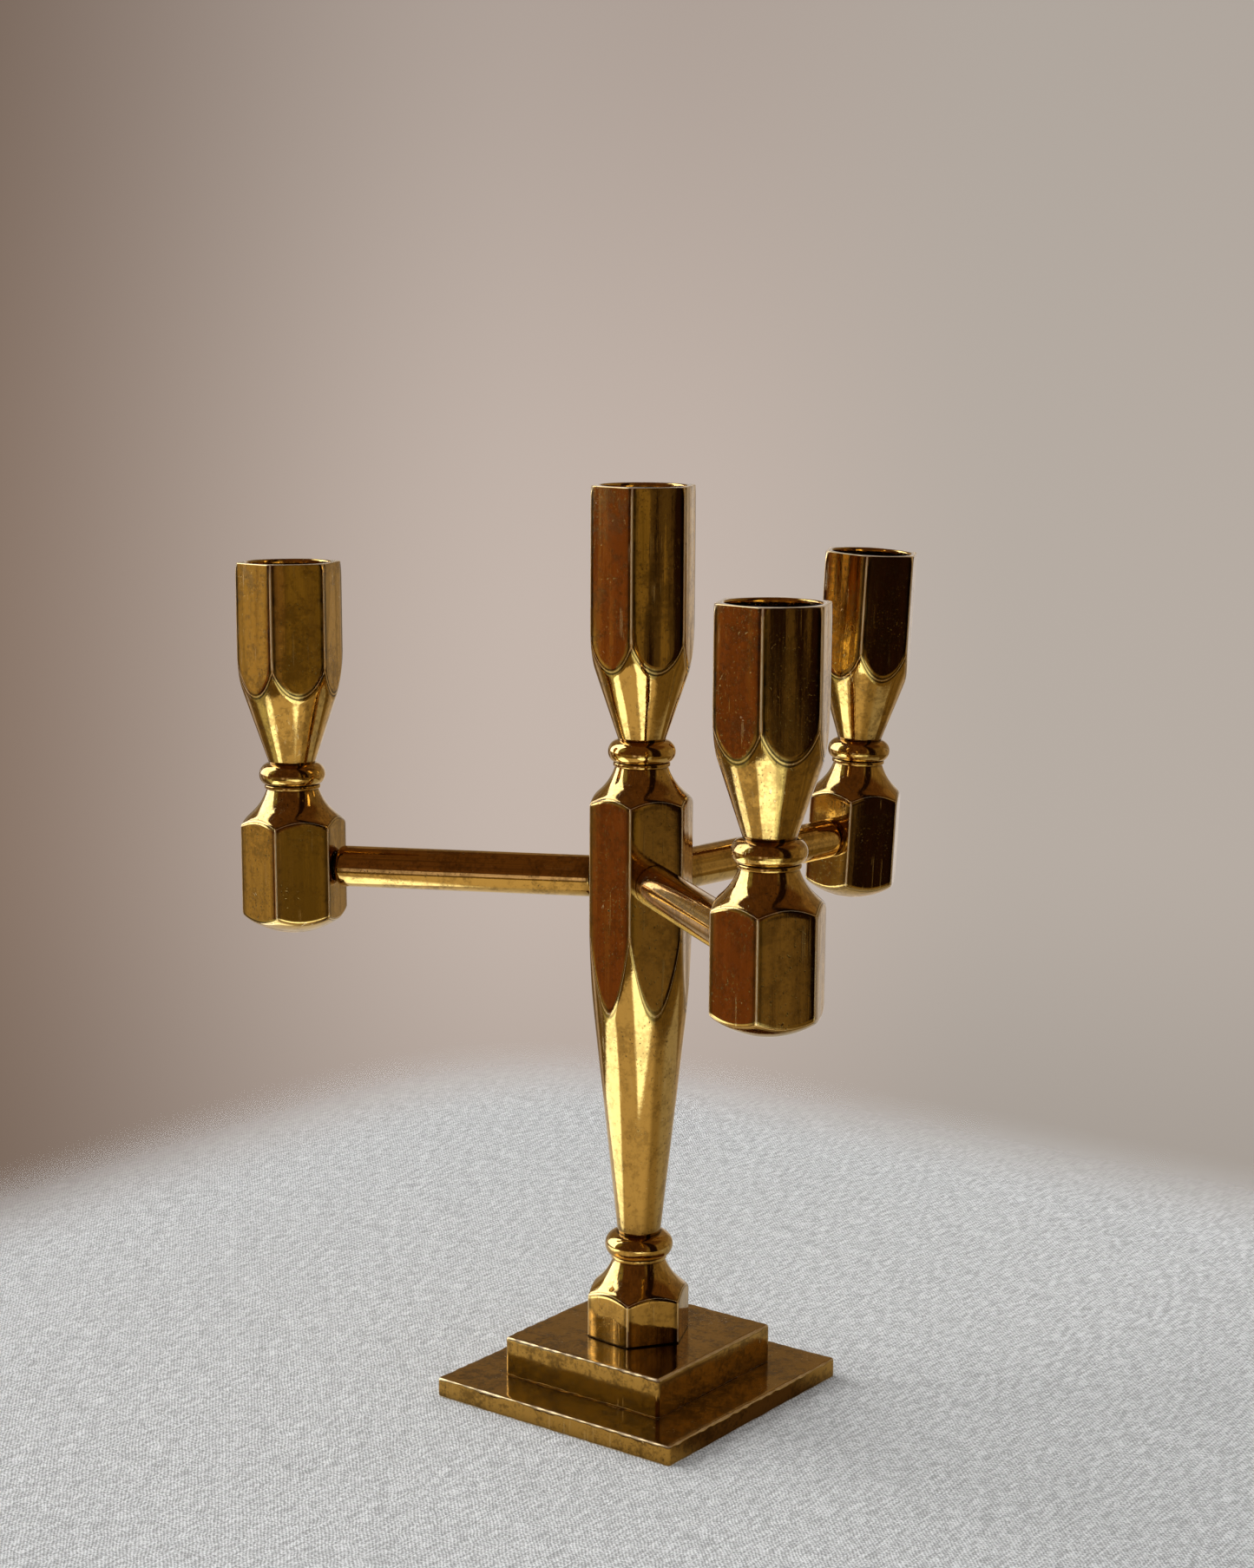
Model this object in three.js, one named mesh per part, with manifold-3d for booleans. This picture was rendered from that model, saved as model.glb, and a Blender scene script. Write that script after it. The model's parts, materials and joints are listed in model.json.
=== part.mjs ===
// Four-light tabletop candelabra turned from hexagonal brass bar.
//
// A square stepped base carries a foot block, a tapered column whose hub holds three round
// arms, and a candle cup on the hub and on the block at the end of each arm. Every turned
// piece is a lathe profile that a hexagonal bar cuts off, so its flats end in the V and U
// shapes where the turned form dips below the bar. The pieces are screwed together with studs.
//
// Millimetres, +Z up. The origin is the centre of the base's underside, on the column's axis.
// The base's sides lie along X and Y.

import * as THREE from 'three';
import { mergeVertices } from 'three/addons/utils/BufferGeometryUtils.js';
import Module from 'manifold-3d';

const wasm = await Module();
wasm.setup();

// ---------------------------------------------------------------- driving dimensions

const HEX_ACROSS_FLATS = 25.3; // the bar that the foot, column, arm blocks and cups are turned from
const SEAM = 0.3; // hairline joint between pieces that are screwed face to face
const STUD_CLEARANCE = 0.3; // between a stud and its hole, all round and at its ends

// Stepped base
const BASE_SIDE = 78;
const BASE_THICKNESS = 5.3;
const PLINTH_SIDE = 51.8;
const PLINTH_THICKNESS = 10.7;
const PLATE_CORNER_RADIUS = 1; // of both plates, seen from above
const PLATE_EDGE_BREAK = 0.35; // 45 degree break on every plate edge

// Bolt that holds the base together from below
const BOLT_DIAMETER = 6;
const BOLT_HEAD_ACROSS_FLATS = 10;
const BOLT_HEAD_HEIGHT = 3.3;
const BOLT_HEAD_CHAMFER = 0.4;
const BOLT_SOCKET_CLEARANCE = 2; // room for a socket round the head's corners
const BOLT_ENGAGEMENT = 9.5; // thread length in the foot block

// Heights of the stacked pieces, to the top corners of their hexagonal part
const FOOT_HEX_HEIGHT = 11.6;
const COLUMN_TO_HUB_TOP = 124.45; // from the column's lower end to the hub's top corners
const CENTRE_CUP_HEIGHT = 72.45;
const ARM_CUP_HEIGHT = 60.15;

// Neck and collar at the top of every block
const NECK_FLARE_DEG = 48; // from the axis, where the neck leaves the hexagonal corners
const NECK_TOP_DEG = 17; // from the axis, where it reaches the collar
const NECK_RADIUS = 7.05; // at the collar
const NECK_CURVE_RADIUS = 14.5;
const COLLAR_RADIUS = 7.6;
const COLLAR_HEIGHT = 1.2;
const COLLAR_EDGE = 0.3;

// Bead at the bottom of the column and of every cup
const BEAD_RADIUS = 9;
const BEAD_SECTION_RADIUS = 3.3;
const BEAD_DROP = 2.35; // from the bead's centre to the joint under it

// Column below the hub
const COLUMN_WAIST_RADIUS = 5.85; // where the taper leaves the bead
const COLUMN_TAPER_DEG = 6.2; // from the axis
const COLUMN_SHOULDER_RADIUS = 11.9; // turned radius where the straight taper starts to curve
const COLUMN_SHOULDER_CURVE = 730;

// Cups
const CUP_WAIST_RADIUS = 6.3;
const CUP_TAPER_DEG = 18;
const CUP_SHOULDER_RADIUS = 12.5;
const CUP_SHOULDER_CURVE = 48;
const RIM_EASE_RADIAL = 0.35; // the hexagonal corners lean in towards the rim by this
const RIM_EASE_HEIGHT = 6;
const RIM_EDGE = 0.25;
const CANDLE_BORE = 22.7; // takes a standard 22 mm candle
const CANDLE_DEPTH = 25;
const BORE_CHAMFER = 0.5;

// Arms
const ARM_REACH = 97.5; // column's axis to cup's axis
const ARM_DROP_FROM_HUB_TOP = 20.7; // hub's top corners down to the arms' axes
const ARM_DIAMETER = 11.2;
const ARM_END_RADIUS = 1.8; // rounding of the outer end of the rod
const ARM_HUB_EDGE = 0.3;
const BLOCK_TOP_ABOVE_ARM = 11.5; // arm's axis up to the block's top corners
const BLOCK_BOTTOM_BELOW_ARM = 13.1; // arm's axis down to the block's lower corners
const BLOCK_DOME_RADIUS = 21.5;

// Studs
const STUD_DIAMETER = 6;
const STUD_CHAMFER = 0.6;
const STUD_ENGAGEMENT = 9; // length in each of the two pieces that it joins
const HUB_STUD_ENGAGEMENT = 7.5; // shorter in the hub, where three studs point at one another

// The first arm points a little off 30 degrees from +X, because the stem is only screwed tight.
const STEM_TURN_DEG = -35.3;
// Each arm leaves a flat of the hub, and has settled a little off its true place: sideways (skew),
// down (droop) and round its own axis (lean).
const ARMS = [
  { name: 'right', bearingDeg: 0, skewDeg: -0.4, droopDeg: -0.2, leanDeg: -0.2 },
  { name: 'rear', bearingDeg: 120, skewDeg: 2.3, droopDeg: 0.8, leanDeg: 2.6 },
  { name: 'left', bearingDeg: -120, skewDeg: -0.8, droopDeg: 0.6, leanDeg: 0.9 },
];

// Fineness of the curves
const TURN_SEGMENTS = 36; // a multiple of 12, so that hexagon corners and flats fall on facets
const ROD_SEGMENTS = 24;
const STUD_SEGMENTS = 12;
const BEAD_STEPS = 6;
const NECK_STEPS = 4;
const SHOULDER_STEPS = 3;
const DOME_STEPS = 3;
const ROD_END_STEPS = 3;
const CORNER_STEPS = 4;
const CUT_OVERSHOOT = 1; // how far a cutting body runs past the face that it cuts

// ---------------------------------------------------------------- derived dimensions

const rad = THREE.MathUtils.degToRad;

const hexApothem = HEX_ACROSS_FLATS / 2;
const hexCorner = cornerRadius(HEX_ACROSS_FLATS);
const turnedLimit = hexCorner + CUT_OVERSHOOT; // a turned radius that the bar always cuts off

const studHoleRadius = STUD_DIAMETER / 2 + STUD_CLEARANCE;
const studHoleDepth = STUD_ENGAGEMENT + STUD_CLEARANCE;

const footBottom = BASE_THICKNESS + PLINTH_THICKNESS;
const footHexTop = footBottom + FOOT_HEX_HEIGHT;

const neckFlareRise = neckLineRise(hexCorner);
const neckCurveRise = NECK_CURVE_RADIUS * (Math.sin(rad(NECK_FLARE_DEG)) - Math.sin(rad(NECK_TOP_DEG)));
const neckHeight = neckFlareRise + neckCurveRise;
const neckAndCollar = neckHeight + COLLAR_HEIGHT;

const columnBottom = footHexTop + neckAndCollar + SEAM;
const hubTop = columnBottom + COLUMN_TO_HUB_TOP;
const centreCupBottom = hubTop + neckAndCollar + SEAM;
const armHeight = hubTop - ARM_DROP_FROM_HUB_TOP;
const armCupBottom = BLOCK_TOP_ABOVE_ARM + neckAndCollar + SEAM; // above the arm's axis

/** Centre-to-corner distance of a hexagon. */
function cornerRadius(acrossFlats) {
  return acrossFlats / 2 / Math.cos(Math.PI / 6);
}

/** Rise of the neck's straight flare from a turned radius up to where its curve starts. */
function neckLineRise(radius) {
  const curveIn = NECK_CURVE_RADIUS * (Math.cos(rad(NECK_TOP_DEG)) - Math.cos(rad(NECK_FLARE_DEG)));
  return (radius - NECK_RADIUS - curveIn) / Math.tan(rad(NECK_FLARE_DEG));
}

// ---------------------------------------------------------------- solids

/** Closed manifold solid of a three.js geometry. */
function solid(geometry) {
  const bare = geometry.clone();
  bare.deleteAttribute('normal');
  bare.deleteAttribute('uv');
  const merged = mergeVertices(bare);
  const corners = merged.index.array;
  const triangles = [];
  for (let i = 0; i < corners.length; i += 3) {
    const [a, b, c] = [corners[i], corners[i + 1], corners[i + 2]];
    if (a !== b && b !== c && c !== a) {
      triangles.push(a, b, c);
    }
  }
  const mesh = new wasm.Mesh({
    numProp: 3,
    vertProperties: new Float32Array(merged.attributes.position.array),
    triVerts: new Uint32Array(triangles),
  });
  return new wasm.Manifold(mesh);
}

/** Three.js geometry of a manifold solid. */
function geometryOf(body) {
  const mesh = body.getMesh();
  const geometry = new THREE.BufferGeometry();
  geometry.setAttribute('position', new THREE.BufferAttribute(mesh.vertProperties, 3));
  geometry.setIndex(new THREE.BufferAttribute(mesh.triVerts, 1));
  geometry.computeVertexNormals();
  return geometry;
}

/** Revolves a profile of [radius, z] points, given from the axis at the bottom round to the top. */
function turned(profile, segments = TURN_SEGMENTS) {
  const points = profile.map(([radius, z]) => new THREE.Vector2(radius, z));
  return new THREE.LatheGeometry(points, segments).rotateX(Math.PI / 2);
}

/** Hexagonal bar with flats that face +X and -X, from one height to another. */
function hexBar(acrossFlats, from, to) {
  const outline = new THREE.Shape();
  const corner = cornerRadius(acrossFlats);
  for (let i = 0; i < 6; i++) {
    const angle = rad(30 + 60 * i);
    const point = [corner * Math.cos(angle), corner * Math.sin(angle)];
    if (i === 0) {
      outline.moveTo(...point);
    } else {
      outline.lineTo(...point);
    }
  }
  outline.closePath();
  const bar = new THREE.ExtrudeGeometry(outline, { depth: to - from, bevelEnabled: false });
  return bar.translate(0, 0, from);
}

/** A profile turned out of the hexagonal bar. */
function turnedFromBar(profile) {
  const heights = profile.map((point) => point[1]);
  const from = Math.min(...heights) - CUT_OVERSHOOT;
  const to = Math.max(...heights) + CUT_OVERSHOOT;
  return solid(turned(profile)).intersect(solid(hexBar(HEX_ACROSS_FLATS, from, to)));
}

/** Upright cylinder for a cut, from one height to another. */
function drill(radius, from, to, segments = STUD_SEGMENTS) {
  const cylinder = new THREE.CylinderGeometry(radius, radius, to - from, segments);
  return cylinder.rotateX(Math.PI / 2).translate(0, 0, (from + to) / 2);
}

/** Points on an arc in the profile's plane. Angles are from the radial direction. */
function arc(centreRadius, centreZ, radius, fromDeg, toDeg, steps) {
  return Array.from({ length: steps + 1 }, (_, i) => {
    const angle = rad(fromDeg + ((toDeg - fromDeg) * i) / steps);
    return [centreRadius + radius * Math.cos(angle), centreZ + radius * Math.sin(angle)];
  });
}

// ---------------------------------------------------------------- profile modules

/** Blind stud hole in the face where a profile starts. */
function holeFromBelow(z) {
  return [
    [0, z + studHoleDepth],
    [studHoleRadius, z + studHoleDepth],
    [studHoleRadius, z],
  ];
}

/** Blind stud hole in the face where a profile ends. */
function holeFromAbove(z) {
  return [
    [studHoleRadius, z],
    [studHoleRadius, z - studHoleDepth],
    [0, z - studHoleDepth],
  ];
}

/** Hollow neck and collar above a block whose hexagonal corners end at the given height. */
function neck(cornerZ) {
  const curveStart = cornerZ + neckFlareRise;
  const top = cornerZ + neckHeight;
  const centreRadius = NECK_RADIUS + NECK_CURVE_RADIUS * Math.cos(rad(NECK_TOP_DEG));
  const centreZ = top + NECK_CURVE_RADIUS * Math.sin(rad(NECK_TOP_DEG));
  const collarTop = top + COLLAR_HEIGHT;
  return [
    [turnedLimit, curveStart - neckLineRise(turnedLimit)],
    ...arc(centreRadius, centreZ, NECK_CURVE_RADIUS, 180 + NECK_FLARE_DEG, 180 + NECK_TOP_DEG, NECK_STEPS),
    [COLLAR_RADIUS - COLLAR_EDGE, top],
    [COLLAR_RADIUS, top + COLLAR_EDGE],
    [COLLAR_RADIUS, collarTop - COLLAR_EDGE],
    [COLLAR_RADIUS - COLLAR_EDGE, collarTop],
    ...holeFromAbove(collarTop),
  ];
}

/** Bead above a joint face, which ends at the waist of the taper that it carries. */
function bead(z, waistRadius) {
  const centreRadius = BEAD_RADIUS - BEAD_SECTION_RADIUS;
  const fromDeg = -THREE.MathUtils.radToDeg(Math.asin(BEAD_DROP / BEAD_SECTION_RADIUS));
  const toDeg = THREE.MathUtils.radToDeg(Math.acos((waistRadius - centreRadius) / BEAD_SECTION_RADIUS));
  return [
    ...holeFromBelow(z),
    ...arc(centreRadius, z + BEAD_DROP, BEAD_SECTION_RADIUS, fromDeg, toDeg, BEAD_STEPS),
  ];
}

/** Straight taper that opens into a shoulder curve, which runs out past the bar's corners. */
function taper(start, taperDeg, shoulderRadius, curveRadius) {
  const [waistRadius, waistZ] = start;
  const shoulderZ = waistZ + (shoulderRadius - waistRadius) / Math.tan(rad(taperDeg));
  const centreRadius = shoulderRadius - curveRadius * Math.cos(rad(taperDeg));
  const centreZ = shoulderZ + curveRadius * Math.sin(rad(taperDeg));
  const reach = Math.min(1, (hexCorner - centreRadius) / curveRadius);
  const endDeg = THREE.MathUtils.radToDeg(Math.acos(reach));
  const curve = arc(centreRadius, centreZ, curveRadius, -taperDeg, -endDeg, SHOULDER_STEPS);
  const [, endZ] = curve[curve.length - 1];
  return [...curve, [turnedLimit, endZ]];
}

/** Last point of a profile. */
function endOf(profile) {
  return profile[profile.length - 1];
}

// ---------------------------------------------------------------- pieces

/** Square plate with rounded corners and broken edges, standing on the given height. */
function squarePlate(side, thickness, bottom) {
  const half = side / 2;
  const inner = half - PLATE_CORNER_RADIUS;
  const outline = new THREE.Shape();
  outline.moveTo(half, -inner);
  for (let i = 0; i < 4; i++) {
    const turn = (i * Math.PI) / 2;
    const centre = new THREE.Vector2(inner, inner).rotateAround(new THREE.Vector2(), turn);
    outline.absarc(centre.x, centre.y, PLATE_CORNER_RADIUS, turn, turn + Math.PI / 2, false);
  }
  outline.closePath();
  const plate = new THREE.ExtrudeGeometry(outline, {
    depth: thickness - 2 * PLATE_EDGE_BREAK,
    curveSegments: CORNER_STEPS,
    bevelThickness: PLATE_EDGE_BREAK,
    bevelSize: PLATE_EDGE_BREAK,
    bevelOffset: -PLATE_EDGE_BREAK,
    bevelSegments: 1,
  });
  return solid(plate.translate(0, 0, bottom + PLATE_EDGE_BREAK));
}

const boltHoleRadius = BOLT_DIAMETER / 2 + STUD_CLEARANCE;
const boltTip = footBottom + BOLT_ENGAGEMENT;

/** Lower plate, counterbored from below for the bolt's head. */
function basePlate() {
  const socketRadius = cornerRadius(BOLT_HEAD_ACROSS_FLATS) + BOLT_SOCKET_CLEARANCE;
  return squarePlate(BASE_SIDE, BASE_THICKNESS, 0)
    .subtract(solid(drill(boltHoleRadius, -CUT_OVERSHOOT, BASE_THICKNESS + CUT_OVERSHOOT)))
    .subtract(solid(drill(socketRadius, -CUT_OVERSHOOT, BOLT_HEAD_HEIGHT, TURN_SEGMENTS)));
}

/** Upper plate, drilled through for the bolt. */
function plinthPlate() {
  const hole = drill(boltHoleRadius, BASE_THICKNESS - CUT_OVERSHOOT, footBottom + CUT_OVERSHOOT);
  return squarePlate(PLINTH_SIDE, PLINTH_THICKNESS, BASE_THICKNESS).subtract(solid(hole));
}

/** Bolt with a chamfered hexagonal head, whose face lies flush with the base's underside. */
function baseBolt() {
  const headCorner = cornerRadius(BOLT_HEAD_ACROSS_FLATS);
  const head = turned([
    [0, 0],
    [headCorner - BOLT_HEAD_CHAMFER, 0],
    [headCorner + CUT_OVERSHOOT, BOLT_HEAD_CHAMFER + CUT_OVERSHOOT],
    [headCorner + CUT_OVERSHOOT, BOLT_HEAD_HEIGHT],
    [0, BOLT_HEAD_HEIGHT],
  ]);
  const bar = hexBar(BOLT_HEAD_ACROSS_FLATS, -CUT_OVERSHOOT, BOLT_HEAD_HEIGHT + CUT_OVERSHOOT);
  const shank = turned(
    [
      [0, BOLT_HEAD_HEIGHT / 2],
      [BOLT_DIAMETER / 2, BOLT_HEAD_HEIGHT / 2],
      [BOLT_DIAMETER / 2, boltTip - STUD_CHAMFER],
      [BOLT_DIAMETER / 2 - STUD_CHAMFER, boltTip],
      [0, boltTip],
    ],
    STUD_SEGMENTS,
  );
  return solid(head).intersect(solid(bar)).add(solid(shank));
}

/** Headless stud with chamfered ends, from its lower end at the origin. */
function stud(length) {
  const radius = STUD_DIAMETER / 2;
  return turned(
    [
      [0, 0],
      [radius - STUD_CHAMFER, 0],
      [radius, STUD_CHAMFER],
      [radius, length - STUD_CHAMFER],
      [radius - STUD_CHAMFER, length],
      [0, length],
    ],
    STUD_SEGMENTS,
  );
}

/** Foot block on the plinth, tapped from below for the bolt and from above for a stud. */
function footBlock() {
  const boltHoleTop = boltTip + STUD_CLEARANCE;
  return turnedFromBar([
    [0, boltHoleTop],
    [boltHoleRadius, boltHoleTop],
    [boltHoleRadius, footBottom],
    [turnedLimit, footBottom],
    ...neck(footHexTop),
  ]);
}

/** Column: bead, taper, and a hexagonal hub that is drilled for the arms' studs. */
function column() {
  const lower = bead(columnBottom, COLUMN_WAIST_RADIUS);
  const profile = [
    ...lower,
    ...taper(endOf(lower), COLUMN_TAPER_DEG, COLUMN_SHOULDER_RADIUS, COLUMN_SHOULDER_CURVE),
    ...neck(hubTop),
  ];
  const holeStart = hexApothem - HUB_STUD_ENGAGEMENT - STUD_CLEARANCE;
  return ARMS.reduce((body, arm) => {
    const hole = drill(studHoleRadius, holeStart, turnedLimit).rotateY(Math.PI / 2);
    return body.subtract(solid(hole.applyMatrix4(armFrame(arm).matrix)));
  }, turnedFromBar(profile));
}

/** Candle cup of the given height: bead, taper, and a hexagonal cup with a round bore. */
function cup(height) {
  const lower = bead(0, CUP_WAIST_RADIUS);
  const boreRadius = CANDLE_BORE / 2;
  return turnedFromBar([
    ...lower,
    ...taper(endOf(lower), CUP_TAPER_DEG, CUP_SHOULDER_RADIUS, CUP_SHOULDER_CURVE),
    [turnedLimit, height - RIM_EASE_HEIGHT],
    [hexCorner, height - RIM_EASE_HEIGHT],
    [hexCorner - RIM_EASE_RADIAL, height - RIM_EDGE],
    [hexCorner - RIM_EASE_RADIAL - RIM_EDGE, height],
    [boreRadius + BORE_CHAMFER, height],
    [boreRadius, height - BORE_CHAMFER],
    [boreRadius, height - CANDLE_DEPTH],
    [0, height - CANDLE_DEPTH],
  ]);
}

/** Block at an arm's end: domed below, necked above, and drilled from the side for its stud. */
function armBlock() {
  const domeDeg = THREE.MathUtils.radToDeg(Math.asin(hexCorner / BLOCK_DOME_RADIUS));
  const domeRise = BLOCK_DOME_RADIUS * Math.cos(rad(domeDeg));
  const domeCentreZ = -BLOCK_BOTTOM_BELOW_ARM + domeRise;
  const profile = [
    ...arc(0, domeCentreZ, BLOCK_DOME_RADIUS, -90, -90 + domeDeg, DOME_STEPS),
    [turnedLimit, -BLOCK_BOTTOM_BELOW_ARM],
    ...neck(BLOCK_TOP_ABOVE_ARM),
  ];
  const sideHole = drill(studHoleRadius, -turnedLimit, -hexApothem + studHoleDepth);
  return turnedFromBar(profile).subtract(solid(sideHole.rotateY(Math.PI / 2)));
}

/** How far from the column's axis an arm's rod starts, clear of the hub's flat that it faces. */
function rodStart({ skewDeg, droopDeg }) {
  const offTrue = rad(Math.hypot(skewDeg, droopDeg));
  return (hexApothem + (ARM_DIAMETER / 2) * Math.sin(offTrue)) / Math.cos(offTrue) + SEAM;
}

/** Round rod of an arm, square at the hub and rounded at the block, tapped at both ends. */
function armRod(length) {
  const radius = ARM_DIAMETER / 2;
  const roundedFrom = length - ARM_END_RADIUS;
  const profile = [
    ...holeFromBelow(0),
    [radius - ARM_HUB_EDGE, 0],
    [radius, ARM_HUB_EDGE],
    ...arc(radius - ARM_END_RADIUS, roundedFrom, ARM_END_RADIUS, 0, 90, ROD_END_STEPS),
    ...holeFromAbove(length),
  ];
  return turned(profile, ROD_SEGMENTS);
}

// ---------------------------------------------------------------- assembly

/** Named mesh of a solid or geometry, with a material of its own. */
function piece(name, body, finish) {
  const geometry = body.isBufferGeometry ? body : geometryOf(body);
  const mesh = new THREE.Mesh(geometry, new THREE.MeshStandardMaterial({ flatShading: true, ...finish }));
  mesh.name = name;
  return mesh;
}

const POLISHED_BRASS = { color: 0xb08d3f, roughness: 0.18, metalness: 1 };
const AGED_BRASS = { color: 0x8a6b32, roughness: 0.28, metalness: 1 };
const STEEL = { color: 0x8d8f92, roughness: 0.4, metalness: 1 };

/** Group whose +X axis runs out along an arm from the column's axis. */
function armFrame({ bearingDeg, skewDeg, droopDeg, leanDeg }) {
  const frame = new THREE.Group();
  frame.position.z = armHeight;
  frame.rotation.set(rad(leanDeg), rad(droopDeg), rad(bearingDeg + skewDeg), 'ZYX');
  frame.updateMatrix();
  return frame;
}

/** One arm: rod, end block, cup and the studs between them. */
function arm(settings) {
  const { name } = settings;
  const frame = armFrame(settings);
  const start = rodStart(settings);
  const end = ARM_REACH - hexApothem - SEAM;

  const rod = piece(`${name}_arm_rod`, armRod(end - start), POLISHED_BRASS);
  rod.position.x = start;
  rod.rotation.y = Math.PI / 2;

  const hubStudStart = hexApothem - HUB_STUD_ENGAGEMENT;
  const hubStud = piece(`${name}_arm_hub_stud`, stud(start + STUD_ENGAGEMENT - hubStudStart), STEEL);
  hubStud.position.x = hubStudStart;
  hubStud.rotation.y = Math.PI / 2;

  const blockStud = piece(`${name}_arm_block_stud`, stud(2 * STUD_ENGAGEMENT + SEAM), STEEL);
  blockStud.position.x = end - STUD_ENGAGEMENT;
  blockStud.rotation.y = Math.PI / 2;

  const block = piece(`${name}_arm_block`, armBlock(), AGED_BRASS);
  block.position.x = ARM_REACH;

  const cupStud = piece(`${name}_cup_stud`, stud(2 * STUD_ENGAGEMENT + SEAM), STEEL);
  cupStud.position.set(ARM_REACH, 0, armCupBottom - SEAM - STUD_ENGAGEMENT);

  const candleCup = piece(`${name}_cup`, cup(ARM_CUP_HEIGHT), POLISHED_BRASS);
  candleCup.position.set(ARM_REACH, 0, armCupBottom);

  return frame.add(rod, hubStud, blockStud, block, cupStud, candleCup);
}

/** Foot block, column and centre cup with their studs, and the arms on the hub. */
function stem() {
  const footStud = piece('foot_stud', stud(2 * STUD_ENGAGEMENT + SEAM), STEEL);
  footStud.position.z = columnBottom - SEAM - STUD_ENGAGEMENT;

  const centreCupStud = piece('centre_cup_stud', stud(2 * STUD_ENGAGEMENT + SEAM), STEEL);
  centreCupStud.position.z = centreCupBottom - SEAM - STUD_ENGAGEMENT;

  const centreCup = piece('centre_cup', cup(CENTRE_CUP_HEIGHT), POLISHED_BRASS);
  centreCup.position.z = centreCupBottom;

  const group = new THREE.Group();
  group.rotation.z = rad(STEM_TURN_DEG);
  return group.add(
    piece('foot_block', footBlock(), AGED_BRASS),
    footStud,
    piece('column', column(), POLISHED_BRASS),
    centreCupStud,
    centreCup,
    ...ARMS.map(arm),
  );
}

const candelabra = new THREE.Group();
candelabra.add(
  piece('base_plate', basePlate(), AGED_BRASS),
  piece('plinth_plate', plinthPlate(), AGED_BRASS),
  piece('base_bolt', baseBolt(), STEEL),
  stem(),
);

export default candelabra;
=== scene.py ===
"""Four-light brass candelabra, dressed for its picture.

Every turned piece is modelled about its own axis, in millimetres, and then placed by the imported
model's boxes. A piece starts as a turned outline that the hexagonal bar cuts off, with the creases
between flats and turned faces softened as polishing leaves them.
"""

from __future__ import annotations

import json
import logging
import math
from dataclasses import dataclass
from enum import Enum
from typing import Any, Sequence

import bpy
import numpy as np
from mathutils import Euler, Matrix, Vector

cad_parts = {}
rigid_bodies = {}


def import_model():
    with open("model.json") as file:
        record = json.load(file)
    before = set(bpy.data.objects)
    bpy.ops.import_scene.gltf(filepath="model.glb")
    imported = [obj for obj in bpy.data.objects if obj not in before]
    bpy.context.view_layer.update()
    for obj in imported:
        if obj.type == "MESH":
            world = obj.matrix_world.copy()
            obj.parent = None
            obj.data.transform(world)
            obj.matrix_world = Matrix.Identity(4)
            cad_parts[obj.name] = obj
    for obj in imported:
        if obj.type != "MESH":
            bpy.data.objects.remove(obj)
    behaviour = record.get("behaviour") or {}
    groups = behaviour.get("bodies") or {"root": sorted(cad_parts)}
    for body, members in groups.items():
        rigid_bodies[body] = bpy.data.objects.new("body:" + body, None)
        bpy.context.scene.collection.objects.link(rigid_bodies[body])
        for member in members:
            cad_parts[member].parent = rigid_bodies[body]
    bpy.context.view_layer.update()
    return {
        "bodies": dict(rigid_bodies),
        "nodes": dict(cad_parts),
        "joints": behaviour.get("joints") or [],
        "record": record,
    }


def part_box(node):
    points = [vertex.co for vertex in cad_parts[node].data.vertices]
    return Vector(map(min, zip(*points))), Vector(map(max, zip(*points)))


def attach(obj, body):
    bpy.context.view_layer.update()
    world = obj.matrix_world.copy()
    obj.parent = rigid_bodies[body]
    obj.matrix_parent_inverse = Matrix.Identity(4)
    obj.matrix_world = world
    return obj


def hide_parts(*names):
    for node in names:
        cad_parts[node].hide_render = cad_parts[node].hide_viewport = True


LOG = logging.getLogger("candelabra")
ROOT = "root"

# A millimetre in metres, and a hundredth of a millimetre in millimetres.
MM = 0.001
HAIR = 0.01

Range = tuple[float, float]


# ---------------------------------------------------------------- numbers and outlines


@dataclass(frozen=True)
class Crease:
    """How polishing has eased the crease between a flat and a turned face, and how bright a highlight is
    painted along it.
    """

    blend: float
    crisp: float = 2.0
    # How bright the highlight painted along the crease is.
    painted_highlight: float = 0.75

    def join(self, a: np.ndarray, b: np.ndarray) -> tuple[np.ndarray, np.ndarray]:
        """Takes the smaller of two radii with an eased changeover.

        Args:
            a: Radii of the one surface.
            b: Radii of the other surface.

        Returns:
            The joined radii, and how near each point is to the crease, from 0 to 1.
        """
        near = np.maximum(self.blend - np.abs(a - b), 0.0) / self.blend
        return np.minimum(a, b) - near**self.crisp * self.blend / (2 * self.crisp), near


def eased(count: int, power: float = 2.0) -> np.ndarray:
    """Shares from 0 to 1 that crowd towards 0, both ends included."""
    return np.linspace(0.0, 1.0, count + 1) ** power


def arc(centre: tuple[float, float], radius: float, start: float, stop: float, steps: int) -> np.ndarray:
    """Points on an arc in the plane of an outline.

    Args:
        centre: Radius and height of the arc's centre.
        radius: Radius of the arc.
        start: First angle in degrees from the radial direction.
        stop: Last angle in degrees.
        steps: Number of steps between them.

    Returns:
        Rows of radius and height.
    """
    angles = np.radians(np.linspace(start, stop, steps + 1))
    return np.stack([centre[0] + radius * np.cos(angles), centre[1] + radius * np.sin(angles)], axis=1)


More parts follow.
